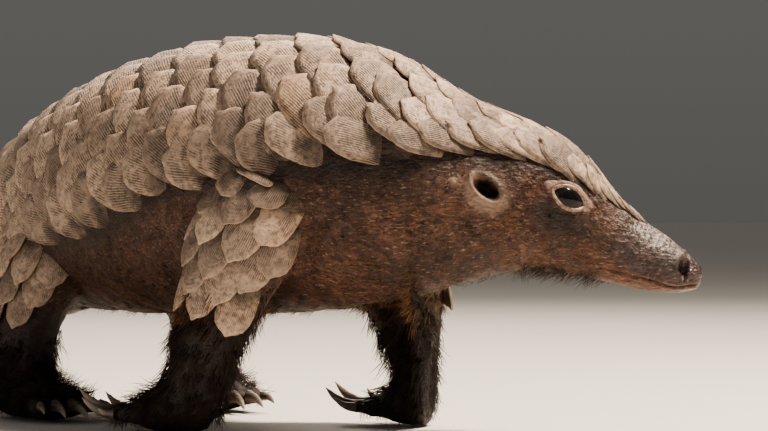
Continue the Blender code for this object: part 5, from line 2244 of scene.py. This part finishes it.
@dataclass(frozen=True)
class BareSkin(Finish):
    """Living skin, thin and creased, matt with an oily sheen that is wet at the nose."""

    # The eye sees warm brown skin, flushed where it is thin, pale at the lids; dark also serves as
    # painted shade in the ear holes and below the scales' edge.
    base: str = "4b2c1d"
    flush: str = "754d39"
    shade: str = "241109"
    speck: str = "120906"
    dark: str = "130b08"
    pale: str = "9a8272"
    ginger: str = "6e3c20"
    snout: str = "483c3e"
    # The colour of the painted highlight on top of the snout.
    frost: str = "c9beb5"
    scurf: str = "826e5d"
    # Patterns in mm: flushes, mottles, short fur, glints painted on short pale hairs, patches of the
    # snout's painted highlight, fine creases, specks.
    flushes: float = 22.0
    mottles: float = 4.0
    fur: float = 0.8
    glints: float = 0.55
    highlight_patches: float = 0.7
    creases: float = 0.9
    speck_areas: float = 7.0
    speck_wander: float = 1.2
    specks: tuple[tuple[float, float, float], ...] = ((1.3, 0.40, 0.22), (2.3, 0.28, 0.17))
    # Light goes further into skin at the red end. Reach in mm.
    scatter: tuple[float, float, float] = (1.0, 0.35, 0.2)
    scatter_reach: float = 1.2

    def paint(self, nodes: Nodes) -> dict[str, object]:
        """Mottles, flushes and specks, laid over with the markings."""
        broad = nodes.ranged(nodes.grain(self.flushes, 4.0), 0.38, 0.62)
        small = nodes.ranged(nodes.grain(self.mottles, 4.0), 0.35, 0.65)
        colour = nodes.coated(
            nodes.mixed(broad, self.base, self.flush), (small, 0.55, self.shade),
            (nodes.attribute("ginger"), 0.8, self.ginger),
            (nodes.attribute("snout"), 0.85, self.snout),
            (nodes.attribute("dark"), 0.95, self.dark), (nodes.attribute("pale"), 0.85, self.pale),
        )
        streak = nodes.ranged(nodes.grain(self.fur, 3.0, Vector((0.28, 1.0, 0.8))), 0.36, 0.62)
        furred = nodes.math("SUBTRACT", 0.75, nodes.times(nodes.attribute("pale"), 0.5))
        # Pale hairs with painted glints: pale streaks where this noise peaks, fewer on dark skin.
        wet = nodes.grain(self.glints, 2.0, Vector((0.22, 1.0, 0.7)))
        clear = nodes.ranged(nodes.attribute("dark"), 0.1, 0.8, 1.0, 0.2)
        # This noise breaks the painted highlight on the snout into patches.
        worn = nodes.grain(self.highlight_patches, 4.0, Vector((0.5, 1.0, 0.8)), 0.7)
        colour = nodes.coated(
            colour, (streak, furred, self.shade),
            (nodes.ranged(wet, 0.60, 0.70, 0.0, 0.55), clear, self.pale),
            (nodes.attribute("frost"), nodes.ranged(worn, 0.47, 0.60, 0.05, 0.8), self.frost),
        )
        place = nodes.add("ShaderNodeTexCoord").outputs["Object"]
        warp = {0: nodes.grain(3.0, 2.0), "Scale": self.speck_wander * MM}
        place = nodes.vector("ADD", {0: place, 1: nodes.vector("SCALE", warp)})
        areas = nodes.ranged(nodes.grain(self.speck_areas, 3.0), 0.40, 0.56)
        for size, low, high in self.specks:
            cells = nodes.add("ShaderNodeTexVoronoi", {"Scale": 1 / (size * MM), "Vector": place})
            dots = nodes.times(nodes.ranged(cells.outputs["Distance"], low, high), areas)
            dots = nodes.times(dots, nodes.ranged(nodes.attribute("pale"), 0.0, 0.9, 1.0, 0.2))
            colour = nodes.coated(colour, (dots, 0.85, self.speck))
        sheen = nodes.times(nodes.attribute("wet"), 0.38)
        return {
            "Base Color": nodes.coated(colour, (nodes.attribute("horn"), 0.9, self.scurf)),
            "Roughness": nodes.math("SUBTRACT", nodes.ranged(small, 0.0, 1.0, 0.52, 0.68), sheen),
            "Specular IOR Level": 0.55,
            "Subsurface Weight": 0.12,
            "Subsurface Radius": self.scatter,
            "Subsurface Scale": self.scatter_reach * MM,
            "Normal": nodes.bump(
                (small, 0.35), (nodes.grain(self.creases, 4.0), 0.28), (streak, 0.16)
            ),
        }


@dataclass(frozen=True)
class Horn(Finish):
    """Keratin scales: dusty, worn smooth and pale at the ends, with fine lines of growth."""

    roughness: float = 0.62
    # The eye sees dull straw and grey-brown horn and a few ginger scales, with painted shade in the
    # grooves of the growth lines and at the roots under the next scale, where there is dirt as well.
    pale: str = "ceb49e"
    dusk: str = "6c5d53"
    ginger: str = "8d6546"
    line: str = "2b2019"
    # Growth lines: their spacing as a share of the width, and the rings' turns along the length.
    spacing: float = 0.042
    ring_turns: float = 95.0
    # Patterns in mm: blotches, grit, worn patches and fine scratches.
    blotches: float = 3.2
    grits: float = 1.5
    patches: float = 6.0
    scratches: float = 0.5

    def paint(self, nodes: Nodes) -> dict[str, object]:
        """Growth lines parallel to the free edge with painted shade in their grooves, dust, stains, a
        shade for each scale, and a root darkened partly by dirt and partly by painted shade.
        """
        tint, contour, across = (nodes.attribute(n) for n in ("tint", "contour", "across"))
        reach = nodes.attribute("reach")
        blotch = nodes.grain(self.blotches, 5.0, roughness=0.65)
        shade = nodes.math("ADD", nodes.times(tint, 0.7), nodes.times(blotch, 0.85))
        colour = nodes.mixed(nodes.ranged(shade, 0.25, 1.05), self.dusk, self.pale)
        grit = nodes.ranged(nodes.grain(self.grits, 4.0, None, 0.65), 0.48, 0.61, 0.0, 0.62)
        colour = nodes.mixed(grit, colour, self.dusk)
        colour = nodes.mixed(nodes.ranged(tint, 0.95, 0.98, 0.0, 0.4), colour, self.ginger)
        wobble = nodes.times(nodes.math("SUBTRACT", blotch, 0.5), 0.03)
        gather = nodes.times(across, nodes.ranged(reach, 0.3, 1.0, 1.0, 0.72))
        place = nodes.math("ADD", gather, wobble)
        wave = nodes.math("SINE", nodes.times(place, 2 * math.pi / self.spacing), 0.0)
        patchy = nodes.ranged(nodes.grain(self.patches, 2.0), 0.40, 0.60)
        inner = nodes.times(nodes.ranged(contour, 0.95, 0.86), nodes.ranged(reach, 0.94, 0.62))
        # Painted shade in the grooves of the growth lines.
        cut = nodes.times(nodes.ranged(wave, 0.15, -0.65), nodes.times(patchy, inner))
        rings = nodes.math("SINE", nodes.times(contour, self.ring_turns), 0.0)
        groove = nodes.math("SUBTRACT", 1.0, cut)
        fine = nodes.grain(self.scratches, 3.0)
        return {
            # The free edge is paler with wear; the root, under the next scale, is darker partly with dirt
            # and partly with painted shade.
            "Base Color": nodes.coated(
                colour, (cut, 0.72, self.line),
                (nodes.ranged(contour, 0.955, 0.995), 0.35, self.pale),
                (nodes.ranged(contour, 0.55, 0.35), 0.7, self.line),
            ),
            "Roughness": nodes.ranged(blotch, 0.3, 0.7, 0.5, 0.72),
            "Normal": nodes.bump((blotch, 0.45), (groove, 0.5), (rings, 0.03), (fine, 0.16)),
        }


@dataclass(frozen=True)
class Bristle(Finish):
    """Stiff hair, near black at the root and ginger to straw at the tip."""

    roughness: float = 0.45
    # The eye sees dark roots and dry tips that catch the light.
    root: str = "1a100c"
    tip: str = "6e452b"
    straw: str = "b98f63"

    def paint(self, nodes: Nodes) -> dict[str, object]:
        """Darker where the coat is marked dark, paler towards the tips."""
        reach, dark = nodes.attribute("reach"), nodes.attribute("tint")
        tipped = nodes.mixed(nodes.ranged(dark, 0.15, 0.75), self.straw, self.tip)
        colour = nodes.mixed(nodes.ranged(reach, 0.1, 0.8), self.root, tipped)
        return {
            "Base Color": nodes.mixed(nodes.ranged(dark, 0.75, 1.0, 0.0, 0.8), colour, self.root),
            "Roughness": nodes.ranged(nodes.grain(2.0), 0.3, 0.7, 0.38, 0.6),
        }


@dataclass(frozen=True)
class ClawHorn(Finish):
    """Claw horn, polished by digging, grey-brown with long fine streaks and a pale tip."""

    roughness: float = 0.38
    # The eye sees dull grey-brown horn, darker in its streaks, with a soft gloss.
    base: str = "6f6258"
    dark: str = "3b312b"
    tip: str = "a79a8b"

    def paint(self, nodes: Nodes) -> dict[str, object]:
        """Streaks along the claw, stained at the root."""
        reach = nodes.attribute("reach")
        streak = nodes.grain(1.2, 3.0, Vector((0.25, 0.25, 1.6)))
        colour = nodes.mixed(nodes.ranged(streak, 0.35, 0.65), self.dark, self.base)
        return {
            "Base Color": nodes.mixed(nodes.ranged(reach, 0.35, 1.0, 0.0, 0.75), colour, self.tip),
            "Roughness": nodes.ranged(streak, 0.3, 0.7, 0.3, 0.5),
            "Normal": nodes.bump((streak, 0.12)),
        }


@dataclass(frozen=True)
class WetEye(Finish):
    """A wet eye, brown-black in the iris, under a clear cornea."""

    roughness: float = 0.12
    # The eye sees near black, with faint rays in the iris and a brown white at the corners.
    iris: str = "1d1512"
    pupil: str = "08090e"
    rays: str = "2c2a33"
    white: str = "57423a"

    def paint(self, nodes: Nodes) -> dict[str, object]:
        """Pupil, iris and the little white that shows at the corners."""
        reach = nodes.attribute("reach")
        colour = nodes.mixed(nodes.ranged(reach, 0.10, 0.13), self.pupil, self.iris)
        colour = nodes.coated(colour, (nodes.grain(0.6, 3.0), 0.3, self.rays))
        return {
            "Base Color": nodes.mixed(nodes.ranged(reach, 0.30, 0.36), colour, self.white),
            "Specular IOR Level": 0.1,
            "Coat Weight": 0.45,
            "Coat Roughness": 0.09,
        }


@dataclass(frozen=True)
class LidMargin(Finish):
    """The moist pink-grey margin of the lids."""

    roughness: float = 0.4
    # The eye sees a thin pale line that parts the dark eye from the brown lid.
    base: str = "988070"
    shade: str = "573f34"

    def paint(self, nodes: Nodes) -> dict[str, object]:
        """Finely mottled."""
        mottle = nodes.grain(1.1, 3.0)
        return {
            "Base Color": nodes.mixed(nodes.ranged(mottle, 0.40, 0.70), self.base, self.shade),
            "Normal": nodes.bump((mottle, 0.15)),
        }


@dataclass(frozen=True)
class StudioFloor(Finish):
    """A matt painted studio floor."""

    roughness: float = 0.8
    # The eye sees an even off-white.
    base: str = "dcd8d1"
    worn: str = "d6d2cb"

    def paint(self, nodes: Nodes) -> dict[str, object]:
        """Almost even, with a faint roller texture."""
        return {"Base Color": nodes.mixed(nodes.grain(60.0, 2.0), self.base, self.worn)}


@dataclass(frozen=True)
class Lamp:
    """One square soft light: its place and size in metres, its power in watts and its colour."""

    name: str
    spot: tuple[float, float, float]
    power: float
    size: float
    colour: str


@dataclass
class Studio:
    """The camera, the floor, the lights and the surrounding light."""

    # In metres: from the camera to the plane of the head, and what the picture's width spans there.
    distance: float = 1.1
    frame_width: float = 0.256
    # The sensor's width in mm, and where the middle of the picture lies, in mm across and up.
    sensor: float = 36.0
    centre: tuple[float, float] = (237.42, 73.2)
    floor_size: float = 60.0
    sky: str = "c9c6c1"
    # A warm high key from behind the head's side, a weak cool fill and a rim light.
    aim: tuple[float, float, float] = (0.15, -0.08, 0.07)
    lamps: tuple[Lamp, ...] = (
        Lamp("key", (0.8, -0.18, 1.15), 42.0, 0.22, "ffeedb"),
        Lamp("fill", (-0.7, -1.3, 0.5), 2.6, 0.9, "e4e9f2"),
        Lamp("rim", (0.1, 1.1, 0.9), 8.0, 0.6, "fff4e6"),
    )

    def camera(self) -> None:
        """Sets the camera at the photograph's place, level and square to the head."""
        lens = bpy.data.cameras.new("camera")
        lens.sensor_fit, lens.sensor_width = "HORIZONTAL", self.sensor
        lens.lens = self.sensor * self.distance / self.frame_width
        lens.clip_start, lens.clip_end = 0.01, 50.0
        made = bpy.data.objects.new("camera", lens)
        bpy.context.scene.collection.objects.link(made)
        made.location = (self.centre[0] * MM, SHIFT.y * MM - self.distance, self.centre[1] * MM)
        made.rotation_euler = (math.radians(90.0), 0.0, 0.0)
        bpy.context.scene.camera = made

    def floor(self) -> None:
        """Lays the floor."""
        half = self.floor_size / 2
        mesh = bpy.data.meshes.new("floor")
        mesh.from_pydata(
            [(-half, -half, 0), (half, -half, 0), (half, half, 0), (-half, half, 0)], [], [(0, 1, 2, 3)]
        )
        made = new_object("floor", mesh)
        mesh.materials.append(StudioFloor("studio_floor").made())

    def light(self, lamp: Lamp) -> None:
        """Hangs one light.

        Args:
            lamp: The light.
        """
        made = bpy.data.lights.new(lamp.name, "AREA")
        made.energy, made.size, made.color = lamp.power, lamp.size, linear(lamp.colour)[:3]
        hung = bpy.data.objects.new(lamp.name, made)
        bpy.context.scene.collection.objects.link(hung)
        hung.location = lamp.spot
        hung.rotation_euler = (Vector(lamp.spot) - Vector(self.aim)).to_track_quat("Z", "Y").to_euler()

    def build(self) -> None:
        """Everything that stands round the animal."""
        self.camera()
        self.floor()
        for lamp in self.lamps:
            self.light(lamp)
        world = bpy.data.worlds.new("studio")
        bpy.context.scene.world = world
        world.use_nodes = True
        nodes = Nodes(world.node_tree)
        place = nodes.add("ShaderNodeTexCoord").outputs["Generated"]
        height = nodes.add("ShaderNodeSeparateXYZ", {0: place}).outputs["Z"]
        sky = world.node_tree.nodes["Background"]
        nodes.feed(sky.inputs["Color"], self.sky)
        nodes.feed(sky.inputs["Strength"], nodes.ranged(height, 0.0, 0.22, 0.185, 0.28))
        bpy.context.scene.view_settings.view_transform = "AgX"
        bpy.context.scene.view_settings.look = "AgX - Medium High Contrast"


def report(piece: bpy.types.Object) -> None:
    """Logs a piece's name and how many faces it has."""
    log.info("%s: %d faces", piece.name, len(piece.data.polygons))


def main() -> None:
    """Builds the studio, then the skin, scales, eyes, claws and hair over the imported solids."""
    logging.basicConfig(level=logging.INFO, format="%(message)s")
    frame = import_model()
    Studio().build()
    tree = scatter_tree()
    skin_finish, horn_finish = BareSkin("bare_skin").made(), Horn("scale_horn").made()
    bristle, claw_finish = Bristle("bristle").made(), ClawHorn("claw_horn").made()

    skin = Skin().build()
    skin.data.materials.clear()
    skin.data.materials.append(skin_finish)
    flesh = [n for n in frame["nodes"] if not n.endswith("_eye") and "_claw_" not in n]
    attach(skin, "root")
    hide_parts(*flesh)
    report(skin)

    for piece in Scales().build(horn_finish, tree):
        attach(piece, "root")

    for side in (1.0, -1.0):
        eye = Eye(side)
        ball = eye.ball()
        ball.data.materials.append(WetEye(f"{eye.name}_wet").made())
        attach(ball, "root")
        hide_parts(eye.name)
        report(ball)
        margin = eye.margin()
        margin.data.materials.append(LidMargin(f"{eye.name}_margin").made())
        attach(margin, "root")
        report(margin)

    claws = Claws()
    for leg in LEGS:
        for index in range(5):
            piece = claws.build(leg, index)
            piece.data.materials.append(claw_finish)
            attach(piece, "root")
            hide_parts(f"{leg.name}_claw_{index + 1}")
            report(piece)

    for piece in Hair().build(skin.data, COATS, bristle, tree):
        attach(piece, "root")


if __name__ == "__main__":
    main()
